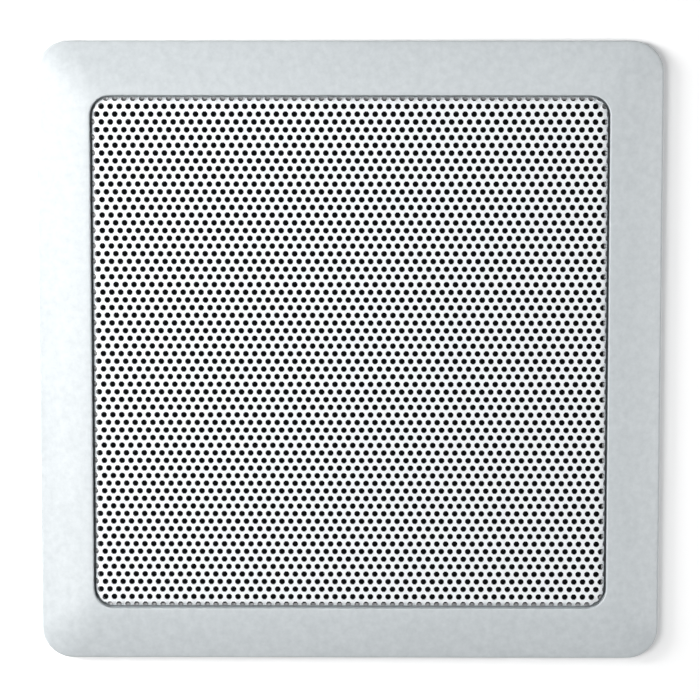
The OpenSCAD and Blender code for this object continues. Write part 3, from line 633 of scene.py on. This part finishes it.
# Dark grey metal on the hole walls: painted shade inside the holes, not the sheet's own colour.
hole_wall_painted_shade = grained("hole_wall_painted_shade", (900, (0.26, 0.265, 0.27), (0.44, 0.445, 0.45), 2, (1, 0.15, 1)),
                       0.00003, 0.5, Roughness=0.55, Metallic=0.8)
grille.data.materials.append(hole_wall_painted_shade)


# Scrim cloth: thin black open-weave cloth, stretched flat and glued to the back of the grille
# with a hem inside its rolled edge, so that the holes look black and no dust reaches the cone.
def weave_group():
    """Plain weave in the plane of the panel: height, and a colour between gap and thread."""
    group, nodes, links, given, out = new_group(
        "weave", (("Threads", "Float", 2000), ("Gap", "Color", (0, 0, 0, 1)),
                  ("Thread", "Color", (1, 1, 1, 1))),
        (("Height", "Float"), ("Color", "Color")))

    def math_node(kind, a, b=None):
        node = nodes.new("ShaderNodeMath")
        node.operation = kind
        for slot, value in enumerate((a, b)):
            if isinstance(value, (int, float)):
                node.inputs[slot].default_value = value
            elif value is not None:
                links.new(value, node.inputs[slot])
        return node.outputs[0]

    coordinates = nodes.new("ShaderNodeTexCoord")
    apart = nodes.new("ShaderNodeSeparateXYZ")
    links.new(coordinates.outputs["Object"], apart.inputs[0])
    across = math_node("MULTIPLY", apart.outputs["X"], given.outputs["Threads"])
    up = math_node("MULTIPLY", apart.outputs["Z"], given.outputs["Threads"])
    warp = math_node("ABSOLUTE", math_node("SINE", math_node("MULTIPLY", across, math.pi)))
    weft = math_node("ABSOLUTE", math_node("SINE", math_node("MULTIPLY", up, math.pi)))
    warp_over = math_node("MULTIPLY", math_node("POWER", warp, 0.4), weft)
    weft_over = math_node("MULTIPLY", math_node("POWER", weft, 0.4), warp)
    parity = math_node("MODULO", math_node("ADD", math_node("FLOOR", across), math_node("FLOOR", up)), 2)
    chosen = nodes.new("ShaderNodeMix")
    links.new(math_node("ABSOLUTE", parity), chosen.inputs["Factor"])
    links.new(warp_over, chosen.inputs["A"])
    links.new(weft_over, chosen.inputs["B"])
    coloured = nodes.new("ShaderNodeMix")
    coloured.data_type = "RGBA"
    links.new(chosen.outputs[0], coloured.inputs["Factor"])
    links.new(given.outputs["Gap"], coloured.inputs["A"])
    links.new(given.outputs["Thread"], coloured.inputs["B"])
    links.new(chosen.outputs[0], out.inputs["Height"])
    links.new(coloured.outputs["Result"], out.inputs["Color"])
    return group


weave = weave_group()


def add_weave(nodes, threads, gap, thread):
    """Puts the weave group into a material with its own values."""
    node = nodes.new("ShaderNodeGroup")
    node.node_tree = weave
    node.inputs["Threads"].default_value = threads
    node.inputs["Gap"].default_value = (*gap, 1)
    node.inputs["Thread"].default_value = (*thread, 1)
    return node


def woven(name, cloth, depth, strength=1.0, **sockets):
    """A material coloured and raised by the weave: its threads a metre, gap and thread."""
    material, bsdf, nodes, links = shader(name, **sockets)
    node = add_weave(nodes, *cloth)
    links.new(node.outputs["Color"], bsdf.inputs["Base Color"])
    add_bump(nodes, links, bsdf, node.outputs["Height"], depth, strength)
    return material


scrim_t = 0.4
hem_end = 4.9
bm = bmesh.new()
scrim_loops = []
for r in (roll_r - sheet_t, roll_r - sheet_t - scrim_t):
    hem = [(flat_corner + r * math.sin(turn), grille_face - roll_r + r * math.cos(turn))
           for turn in (math.radians(a) for a in range(0, 91, 15))]
    hem = square_loops(bm, bend_centre, hem + [(flat_corner + r, hem_end)])
    scrim_loops += hem if r > 1 else hem[::-1]
skin(bm, scrim_loops)
bmesh.ops.holes_fill(bm, edges=scrim_loops[0] + scrim_loops[-1])
scrim_black = woven("scrim_black", (2500, (0.001, 0.001, 0.0012), (0.008, 0.009, 0.01)), 0.0001,
                    Roughness=0.95, Specular_IOR_Level=0.1)
scrim = place(bm, "scrim", scrim_black, "frame", ["scrim_cloth"])


# Foam seals: black closed-cell foam, die cut. One lies in the groove under the bezel and
# meets the panel, the other is squeezed between the driver's seat and the basket's flange.
def turned(outline, steps=96):
    """A new drawing: a closed outline of radius and height turned once round the driver's axis."""
    bm = bmesh.new()
    closed_loop(bm, [(r, 0, z) for r, z in outline])
    bmesh.ops.spin(bm, geom=bm.verts[:] + bm.edges[:], cent=(0, 0, 0), axis=(0, 0, 1), dvec=(0, 0, 0),
                   angle=2 * math.pi, steps=steps, use_merge=True)
    return bm


foam, bsdf, nodes, links = shader("foam", Roughness=0.9, Specular_IOR_Level=0.2)
cells = nodes.new("ShaderNodeTexVoronoi")
cells.inputs["Scale"].default_value = 2200
coordinates = nodes.new("ShaderNodeTexCoord")
links.new(coordinates.outputs["Object"], cells.inputs["Vector"])
speckle = add_grain(nodes, 700, (0.02, 0.02, 0.022), (0.05, 0.05, 0.054), 3)
links.new(speckle.outputs["Color"], bsdf.inputs["Base Color"])
add_bump(nodes, links, bsdf, cells.outputs["Distance"], 0.0002, 0.8)

bm = bmesh.new()
edge = ((0.6, 0), (0.2, 0.2), (0, 0.6), (0, 1.9), (0.2, 2.3), (0.6, 2.5))
ring = (square_loops(bm, groove_centre, [(8.35 - inset, height) for inset, height in edge])
        + square_loops(bm, groove_centre, [(2.65 + inset, height) for inset, height in edge[::-1]]))
skin(bm, ring + ring[:1])
place(bm, "panel_seal", foam, "frame", ["panel_gasket"])

bm = turned(arc((71.5, -7.5), 0.5, -90, 90, 6) + arc((62.5, -7.5), 0.5, 90, 270, 6))
place(bm, "driver_seal", foam, "frame", ["driver_gasket"])


# Driver basket: pressed from 1.2 mm steel sheet and painted black. A flat flange, a bowl
# with six windows, a ledge for the spider, and a cup whose floor is riveted to the motor.
flange_at = -5.8
window_head = -11
window_foot = -25.8
ledge_at = -27.8
cup_floor = -38.6
plate_at = -39.8
spoke_half = 7.5
window_corner = 2.6
sector = math.radians(60)
front_side = [(35.9, -28.6), (36.6, ledge_at), (39.9, ledge_at), (40.6, -27.5), (42.35, window_foot),
              (55.3, window_head), (57.6, -8.3), (58.6, -6.6), (60.2, flange_at)]
rear_side = [(71.7, flange_at), (72, -6.1), (72, -6.7), (71.7, -7), (61.3, -7), (60.3, -7.3), (59.3, -8.1),
             (56.75, window_head), (43.8, window_foot), (41.3, -28.66), (40.4, -29), (38, -29),
             (37.2, -29.3), (36.8, -30.4), (35.3, -39.2), (34.6, plate_at), (14.9, plate_at)]
cup_bore = [(14.7, plate_at + 0.3), (14.7, cup_floor - 0.3), (14.9, cup_floor), (33.2, cup_floor),
            (33.9, -38.2)]
bm = turned(rear_side + cup_bore + front_side, 72)


def spoke_turn(radius):
    """Half the angle that a spoke between two windows takes up at a radius."""
    return math.asin(spoke_half / radius)


for v in bm.verts:
    r = math.hypot(v.co.x, v.co.y)
    if r > 40 and v.co.z > -27:
        turn = math.atan2(v.co.y, v.co.x)
        spoke = sector * math.floor(turn / sector) + sector / 2
        step = round(abs(turn - spoke) / math.radians(5))
        edge = spoke_turn(r)
        wanted = edge * step / 2 if step <= 2 else edge + (sector / 2 - edge) * (step - 2) / 4
        turn = spoke + math.copysign(wanted, turn - spoke)
        v.co.x, v.co.y = r * math.cos(turn), r * math.sin(turn)
openings = []
for f in bm.faces:
    centre = f.calc_center_median()
    span = sorted(v.co.z for v in f.verts)
    if abs(span[0] - window_foot) < 0.01 and abs(span[-1] - window_head) < 0.01:
        turn = math.atan2(centre.y, centre.x) % sector
        if min(turn, sector - turn) < sector / 2 - 0.01 - spoke_turn(centre.xy.length):
            openings.append(f)
bmesh.ops.delete(bm, geom=openings, context="FACES")
for k in range(6):
    middle = Vector((math.cos(sector * k), math.sin(sector * k)))
    mouth = [e for e in bm.edges if e.is_boundary
             and (e.verts[0].co + e.verts[1].co).xy.normalized() @ middle > math.cos(math.radians(29))]
    bmesh.ops.bridge_loops(bm, edges=mouth)
corners = []
for e in bm.edges:
    a, b = e.verts
    across = abs(a.co.xy.length - b.co.xy.length)
    level = abs(a.co.z - b.co.z) < 0.01
    if level and 1.2 < across < 1.8 and min(abs(a.co.z - window_foot), abs(a.co.z - window_head)) < 0.01:
        turn = math.atan2(a.co.y, a.co.x) % sector
        if abs(abs(turn - sector / 2) - spoke_turn(a.co.xy.length)) < 0.0035:
            corners.append(e)
bmesh.ops.bevel(bm, geom=corners, offset=window_corner, segments=4, affect="EDGES", profile=0.5,
                material=-1)


def plate(bm, outline, low, high, holes=()):
    """A flat plate between two heights, with round holes given as x, y and radius."""
    tops, bottoms = [closed_loop(bm, [(x, y, height) for x, y in outline]) for height in (high, low)]
    skin(bm, [tops, bottoms])
    for x, y, radius in holes:
        hole = round_loops(bm, ((radius, high), (radius, low)), (x, y), 24)
        skin(bm, hole)
        tops, bottoms = tops + hole[0], bottoms + hole[1]
    fill(bm, tops, 1)
    fill(bm, bottoms, -1)


def rounded_box(x0, y0, x1, y1, radius):
    """The corners of a rectangle with round corners."""
    return [point for cx, cy, start in ((x1 - radius, y1 - radius, 0), (x0 + radius, y1 - radius, 90),
                                        (x0 + radius, y0 + radius, 180), (x1 - radius, y0 + radius, 270))
            for point in arc((cx, cy), radius, start, start + 90, 6)]


board_at = -24.8
board_foot = -57.375
rivet_y = -51.875
rivet_hole_r = 1.35
lug_half = 5.5
basket_t = 1.2
plate(bm, rounded_box(-lug_half, board_foot + 1, lug_half, -43.2, 1), board_at - basket_t, board_at,
      [(0, rivet_y, rivet_hole_r)])
basket_paint = grained("basket_paint", (260, (0.022, 0.022, 0.024), (0.034, 0.034, 0.037), 4),
                       0.00004, 0.5, (1100, 2), Roughness=0.38)
place(bm, "basket", basket_paint, "frame", ["driver_basket"])


# Driver screws: four pan-head screws with a cross recess, black zinc on steel, driven
# through the flange and its seal into the bosses behind the driver's seat.
thread_r, core_r = 1.4, 1.05
thread_pitch = 0.72
screw_tip = -15.8
arm, arm_half = 1.8, 0.45
cross = [(arm_half, arm), (arm_half, arm_half), (arm, arm_half), (arm, -arm_half), (arm_half, -arm_half),
         (arm_half, -arm), (-arm_half, -arm), (-arm_half, -arm_half), (-arm, -arm_half), (-arm, arm_half),
         (-arm_half, arm_half), (-arm_half, arm)]
profile = [(1.0, screw_tip)]
for k in range(12):
    profile += [(thread_r, -15.2 + k * thread_pitch), (core_r, -14.84 + k * thread_pitch)]
head = ((1.3, -0.1), (1.4, 0), (3.4, 0), (3.5, 0.2), (3.4, 1.3), (3.0, 1.95), (2.5, 2.25), (2.2, 2.3))
profile += [(r, flange_at + h) for r, h in head]
bm = bmesh.new()
for k in range(4):
    at = on_diagonal(k, driver_screw_ring)
    rings = round_loops(bm, profile, at, 24)
    skin(bm, rings)
    bmesh.ops.holes_fill(bm, edges=rings[0])
    recess = [closed_loop(bm, [(at[0] + x * size, at[1] + y * size, flange_at + height) for x, y in cross])
              for size, height in ((1, 2.3), (0.7, 0.9))]
    skin(bm, recess)
    fill(bm, rings[-1] + recess[0], 1)
    fill(bm, recess[1], 1)
black_zinc = grained("black_zinc", (900, (0.03, 0.03, 0.035), (0.06, 0.06, 0.066), 3),
                     0.00002, 0.4, Roughness=0.35, Metallic=0.8)
place(bm, "flange_screws", black_zinc, "frame", ["driver_screws"], 30)


# Trim ring: a ring of pressed pulp, glued on the surround's foot to hold it to the flange.
foot_at = -5.0
foot_outer = 63.5
bm = turned([(foot_outer, foot_at), (foot_outer, -2.6)] + arc((62.7, -2.8), 0.8, 0, 90, 4)
            + arc((60.8, -2.8), 0.8, 90, 180, 4) + [(60, foot_at)])
pulp_black = grained("pulp_black", (1500, (0.012, 0.012, 0.013), (0.05, 0.05, 0.052), 5, (1, 1, 0.4)),
                     0.00012, 0.7, Roughness=0.85)
place(bm, "pulp_ring", pulp_black, "frame", ["trim_ring"])


# Surround: a half-roll of soft black rubber. Its foot is glued to the flange and its lip
# under the cone's edge, and between them it rolls as the cone moves.
roll_mid = (55.25, flange_at)
bm = turned([(foot_outer, flange_at), (foot_outer, foot_at), (60.1, foot_at)]
            + arc((60.1, -4.4), 0.6, 270, 225, 2) + arc(roll_mid, 4.25, 16, 164, 18)
            + arc((50.4, -4.4), 0.6, 315, 270, 2)
            + [(48, foot_at), (48, flange_at), (51.6, flange_at)]
            + arc(roll_mid, 3.45, 176, 4, 18) + [(58.9, flange_at)])
rubber = grained("rubber", (120, (0.014, 0.014, 0.015), (0.028, 0.028, 0.03), 5),
                 0.00003, 0.4, (1800, 2), Roughness=0.55, Sheen_Weight=0.15)


def follow_radius(piece, inner, outer):
    """Bends a ring between its still outer edge and the inner edge that moves with the cone."""
    piece.parent = None
    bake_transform(piece, "frame", "moving_cone", start=(outer, 0, 0), end=(inner, 0, 0))
    weights = piece.data.attributes["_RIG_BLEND"].data
    for k, v in enumerate(piece.data.vertices):
        t = (outer - math.hypot(v.co.x, v.co.z)) / (outer - inner)
        t = max(0, min(1, t))
        weights[k].value = t * t * (3 - 2 * t)


surround = place(bm, "roll_surround", rubber, "frame", ["surround"])
follow_radius(surround, 0.051, 0.0595)


# Cone: pressed black paper pulp with three shallow stiffening rings, glued to the surround
# at its edge and to the coil's former at its neck.
neck_r = 13.1
neck_at = -24
cone_slope = 19 / 34.9
cone_t = 0.7


def cone_height(r):
    """Height of the cone's rear face, with its stiffening rings."""
    rise = neck_at + (r - neck_r) * cone_slope
    return rise + sum(0.35 * math.exp(-((r - ring_r) / 0.7) ** 2) for ring_r in (34, 38, 42))


steps = [neck_r + (48 - neck_r) * k / 56 for k in range(57)]
bm = turned([(r, cone_height(r)) for r in steps]
            + [(50.9, foot_at), (51, -4.65), (50.9, -4.3), (47.8, -4.3)]
            + [(r, cone_height(r) + cone_t) for r in reversed(steps[:-1])])
cone_pulp = grained("cone_pulp", (1300, (0.01, 0.01, 0.011), (0.045, 0.044, 0.044), 6, (1, 0.6, 1)),
                    0.00015, 0.7, Roughness=0.8)
place(bm, "paper_cone", cone_pulp, "moving_cone", ["cone"], 50)


# Whizzer cone and dust cap: thin pale pulp. The whizzer flares out from the neck for the
# high notes, and the cap is a dome glued on the end of the former.
light_pulp = grained("light_pulp", (1200, (0.4, 0.38, 0.35), (0.62, 0.6, 0.56), 6, (1, 0.5, 1)),
                     0.00012, 0.6, Roughness=0.85)
flare_end = math.radians(75)


def flare(r0, z0, r1, z1):
    """Part of a quarter of an ellipse, which widens towards its front edge."""
    return [(r0 + (r1 - r0) * (1 - math.cos(turn)) / (1 - math.cos(flare_end)),
             z0 + (z1 - z0) * math.sin(turn) / math.sin(flare_end))
            for turn in (flare_end * k / 15 for k in range(16))]


whizzer_base = neck_at + cone_t + 0.6 * cone_slope + 0.1
bm = turned(flare(13.7, whizzer_base, 25.9, whizzer_base + 13)
            + flare(neck_r, whizzer_base, 25.4, whizzer_base + 13.2)[::-1])
place(bm, "whizzer", light_pulp, "moving_cone", ["whizzer_cone"], 50)

former_r = 13
former_end = -21.8
dome_h = 6
dome_r = (former_r ** 2 + dome_h ** 2) / (2 * dome_h)
dome_centre = (0, former_end + dome_h - dome_r)
dome_foot = math.degrees(math.asin((dome_r - dome_h) / dome_r))
bm = turned(arc(dome_centre, dome_r, dome_foot, 90, 16)
            + arc(dome_centre, dome_r - 0.5, 90, dome_foot + 1, 14))
place(bm, "cap", light_pulp, "moving_cone", ["dust_cap"], 50)


# Voice coil: lacquered copper wire wound close on a tube of brown kraft paper, which is
# glued to the cone's neck and the spider.
bm = turned([(former_r, -47.6), (former_r, former_end), (12.7, former_end), (12.7, -47.6)])
kraft = grained("kraft", (900, (0.33, 0.21, 0.09), (0.5, 0.34, 0.17), 5, (1, 0.3, 1)),
                0.00005, 0.5, Roughness=0.75)
place(bm, "former", kraft, "moving_cone", ["voice_coil_former"])

coil_low = -46.8
coil_h = 9
wire = [(13.5 - 0.12 * (k % 2), coil_low + coil_h * k / 72) for k in range(73)]
bm = turned(wire + [(former_r, coil_low + coil_h), (former_r, coil_low)])
copper = grained("copper", (400, (0.5, 0.2, 0.08), (0.62, 0.28, 0.13), 3, (1, 8, 1)),
                 0.00002, 0.4, Roughness=0.28, Metallic=1, Coat_Weight=0.4)
place(bm, "coil", copper, "moving_cone", ["voice_coil"], 50)


# Spider: a disc of woven cotton, stiffened with resin and pressed into waves. Its outer
# edge is glued to the basket's ledge and its inner edge to the former.
wave_in, wave_out = 14.8, 35.5


def wave(r):
    """Height of the spider's four waves at a radius."""
    share = (r - wave_in) / (wave_out - wave_in)
    return ledge_at + (0.8 * math.sin(2 * math.pi * 4 * share) if 0 < share < 1 else 0)


waves = [13.3] + [wave_in + (wave_out - wave_in) * k / 64 for k in range(65)] + [40]
bm = turned([(r, wave(r)) for r in waves] + [(r, wave(r) + 0.5) for r in reversed(waves)])
spider_cloth = woven("spider_cloth", (1600, (0.22, 0.13, 0.04), (0.6, 0.42, 0.17)), 0.00015, Roughness=0.8)
spider = place(bm, "waved_spider", spider_cloth, "frame", ["spider"], 60)
follow_radius(spider, wave_in / 1000, wave_out / 1000)


# Motor: a ring of sintered ferrite between two zinc-plated steel plates, the rear one in
# one piece with the pole and its vent. Four riveted heads hold the basket to the front one.
zinc = grained("zinc", (90, (0.5, 0.5, 0.47), (0.68, 0.67, 0.62), 5),
               0.00003, 0.4, (2200, 2), Roughness=0.32, Metallic=0.9, Anisotropic=0.3)
magnet_top = plate_at - 5
magnet_low = magnet_top - 14
yoke_low = magnet_low - 5
plate_edge = 37
bm = turned([(14.3, magnet_top)] + arc((plate_edge, magnet_top + 1), 1, -90, 0, 4)
            + arc((plate_edge, plate_at - 1), 1, 0, 90, 4)
            + [(14.3, plate_at), (14.1, plate_at - 0.2), (14.1, magnet_top + 0.2)])
place(bm, "front_plate", zinc, "frame", ["top_plate"])
bm = turned([(4.6, yoke_low)] + arc((plate_edge, yoke_low + 1), 1, -90, 0, 4)
            + arc((plate_edge, magnet_low - 1), 1, 0, 90, 4)
            + [(12.8, magnet_low), (12.3, -58.6), (12.2, -58), (12.2, -40.4), (11.6, plate_at),
               (4.4, plate_at), (4, plate_at - 0.4), (4, yoke_low + 0.6)])
place(bm, "yoke", zinc, "frame", ["pole_yoke"])
motor_rivet_ring = 26
head = ((3, 0), (2.95, 0.5), (2.6, 1.05), (1.9, 1.4), (0.8, 1.5))
bm = bmesh.new()
for k in range(4):
    rings = round_loops(bm, [(r, cup_floor + h) for r, h in head], on_diagonal(k, motor_rivet_ring), 24)
    skin(bm, rings)
    bmesh.ops.holes_fill(bm, edges=rings[0] + rings[-1])
place(bm, "rivet_heads", zinc, "frame", ["motor_rivets"], 60)

bm = turned([(21.8, magnet_low), (41.2, magnet_low), (42, magnet_low + 0.7), (42, magnet_top - 0.7),
             (41.2, magnet_top), (21.8, magnet_top), (21, magnet_top - 0.7), (21, magnet_low + 0.7)])
ferrite = grained("ferrite", (160, (0.028, 0.028, 0.031), (0.062, 0.062, 0.067), 6),
                  0.0001, 0.6, (900, 5), Roughness=0.62)
place(bm, "ferrite_ring", ferrite, "frame", ["magnet"])


# Terminal board: brown paper laminate, punched, riveted to the basket's lug. It carries two
# tabs of tinned brass, the wide one and the narrow one, each bent from one strip.
board_top = board_at + 1.6
board_half = 15
tab_x = 9.5
bm = bmesh.new()
plate(bm, rounded_box(-board_half, board_foot, board_half, board_foot + 11, 1.2), board_at, board_top,
      [(x, rivet_y, rivet_hole_r) for x in (-tab_x, 0, tab_x)])
laminate = woven("laminate", (1100, (0.13, 0.06, 0.028), (0.24, 0.12, 0.055)), 0.00003, 0.5, Roughness=0.45)
place(bm, "laminate_board", laminate, "frame", ["terminal_board"])

tinned = grained("tinned", (350, (0.56, 0.5, 0.36), (0.7, 0.66, 0.54), 4),
                 0.00002, 0.4, Roughness=0.3, Metallic=0.95)
fold_r = 1.1
tab_t = 0.8
fold_length = (fold_r - tab_t / 2) * math.pi / 2
foot_half = 3
tip = board_foot - fold_length - (board_top + 0.8 - fold_r) + (board_top - 10)
for name, node, x, blade in (("wide_tab", "terminal_positive", -tab_x, 2.4),
                             ("narrow_tab", "terminal_negative", tab_x, 1.4)):
    # The blank lies flat, its foot towards +Y and its blade towards -Y from the fold's start
    right = [(blade - 0.5, tip), (blade, tip + 0.8), (blade, board_foot - 0.6),
             (foot_half, board_foot + 0.1), (foot_half, -47.4)]
    bm = bmesh.new()
    plate(bm, [(x - half, y) for half, y in right[::-1]] + [(x + half, y) for half, y in right],
          board_top, board_top + tab_t, [(x, rivet_y, rivet_hole_r), (x, tip + 3, 0.7)])
    for k in range(7):
        bmesh.ops.bisect_plane(bm, geom=bm.verts[:] + bm.edges[:] + bm.faces[:],
                               plane_co=(0, board_foot - fold_length * k / 6, 0), plane_no=(0, 1, 0))
    for v in bm.verts:
        s = board_foot - v.co.y
        if s > 0:
            radius = fold_r - (board_top + tab_t - v.co.z)
            turn = min(s / fold_length, 1) * math.pi / 2
            v.co.y = board_foot - radius * math.sin(turn)
            v.co.z = board_top + tab_t - fold_r + radius * math.cos(turn) - max(s - fold_length, 0)
    place(bm, name, tinned, "frame", [node], 40)

bm = bmesh.new()
for x, low, high in ((0, board_at - basket_t, board_top), (-tab_x, board_at, board_top + tab_t),
                     (tab_x, board_at, board_top + tab_t)):
    rings = round_loops(bm, ((0.6, low - 0.45), (1.0, low - 0.8), (1.6, low - 0.7), (2.05, low),
                             (1.2, low), (1.2, high), (2.1, high), (2, high + 0.35), (1.5, high + 0.7),
                             (0.5, high + 0.8)), (x, rivet_y), 24)
    skin(bm, rings)
    bmesh.ops.holes_fill(bm, edges=rings[0] + rings[-1])
place(bm, "board_rivets", zinc, "frame", ["terminal_rivets"], 50)


# Tinsel leads: two flexible leads of braided copper, from a solder joint on each tab's foot
# to the back of the cone, with enough slack for the cone's travel.
lead_r = 0.6
lead_slack = 3
lead_low = Vector((-49.475, -21.7))
lead_end = Vector((-30, neck_at + (math.hypot(tab_x, 30) - neck_r) * cone_slope - 1.2))


def lead_point(t):
    """The lead's middle line, as y and height, from the tab to the cone."""
    return Vector((lead_low.x + (lead_end.x - lead_low.x) * t,
                   lead_low.y + (lead_end.y - lead_low.y) * t * t - lead_slack * math.sin(math.pi * t) * t))


bm = bmesh.new()
for x in (-tab_x, tab_x):
    rings = []
    for k in range(49):
        t = k / 48
        along = (lead_point(min(t + 0.01, 1)) - lead_point(max(t - 0.01, 0))).normalized()
        tilt = math.atan2(along.y, along.x)
        turn = (Matrix.Translation((x, *lead_point(t))) @ Matrix.Rotation(tilt, 4, "X")
                @ Matrix.Rotation(math.pi / 2, 4, "X") @ Matrix.Rotation(k * 0.4, 4, "Z"))
        swell = 1 if 0 < k < 48 else 0.6
        made = bmesh.ops.create_circle(bm, segments=10, radius=lead_r * swell * 0.97, matrix=turn)
        ring = set(made["verts"])
        for n, v in enumerate(made["verts"]):
            v.co += (v.co - turn.translation).normalized() * 0.04 * (n % 2)
        rings.append([e for e in bm.edges if e.verts[0] in ring and e.verts[1] in ring])
    skin(bm, rings)
    bmesh.ops.holes_fill(bm, edges=rings[0] + rings[-1])
leads = place(bm, "braided_leads", copper, "frame", ["tinsel_leads"], 60)
leads.parent = None
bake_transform(leads, "frame", "moving_cone", start=(0, -lead_low.y / 1000, lead_low.x / 1000 + 0.002),
         end=(0, -lead_low.y / 1000, lead_end.x / 1000 - 0.001))


def two_dabs(y, z, width, height):
    """A new drawing: a rounded dab at the same end of both leads."""
    bm = bmesh.new()
    for x in (-tab_x, tab_x):
        shape = Matrix.Translation((x, y, z)) @ Matrix.Diagonal((width, width, height, 1))
        bmesh.ops.create_uvsphere(bm, u_segments=16, v_segments=8, radius=1, matrix=shape)
    return bm


bm = two_dabs(lead_low.x + 0.1, lead_low.y - 0.5, 1.1, 0.8)
solder = grained("solder", (500, (0.5, 0.5, 0.5), (0.66, 0.66, 0.67), 3),
                 0.00004, 0.5, Roughness=0.25, Metallic=1)
place(bm, "solder_joints", solder, "frame", [], 60)

bm = two_dabs(lead_end.x - 0.3, lead_end.y + 0.2, 1.8, 0.8)
glue_black = grained("glue_black", (300, (0.008, 0.008, 0.009), (0.02, 0.02, 0.021), 3),
                     0.00008, 0.5, Roughness=0.25)
place(bm, "glue_dabs", glue_black, "moving_cone", [], 60)
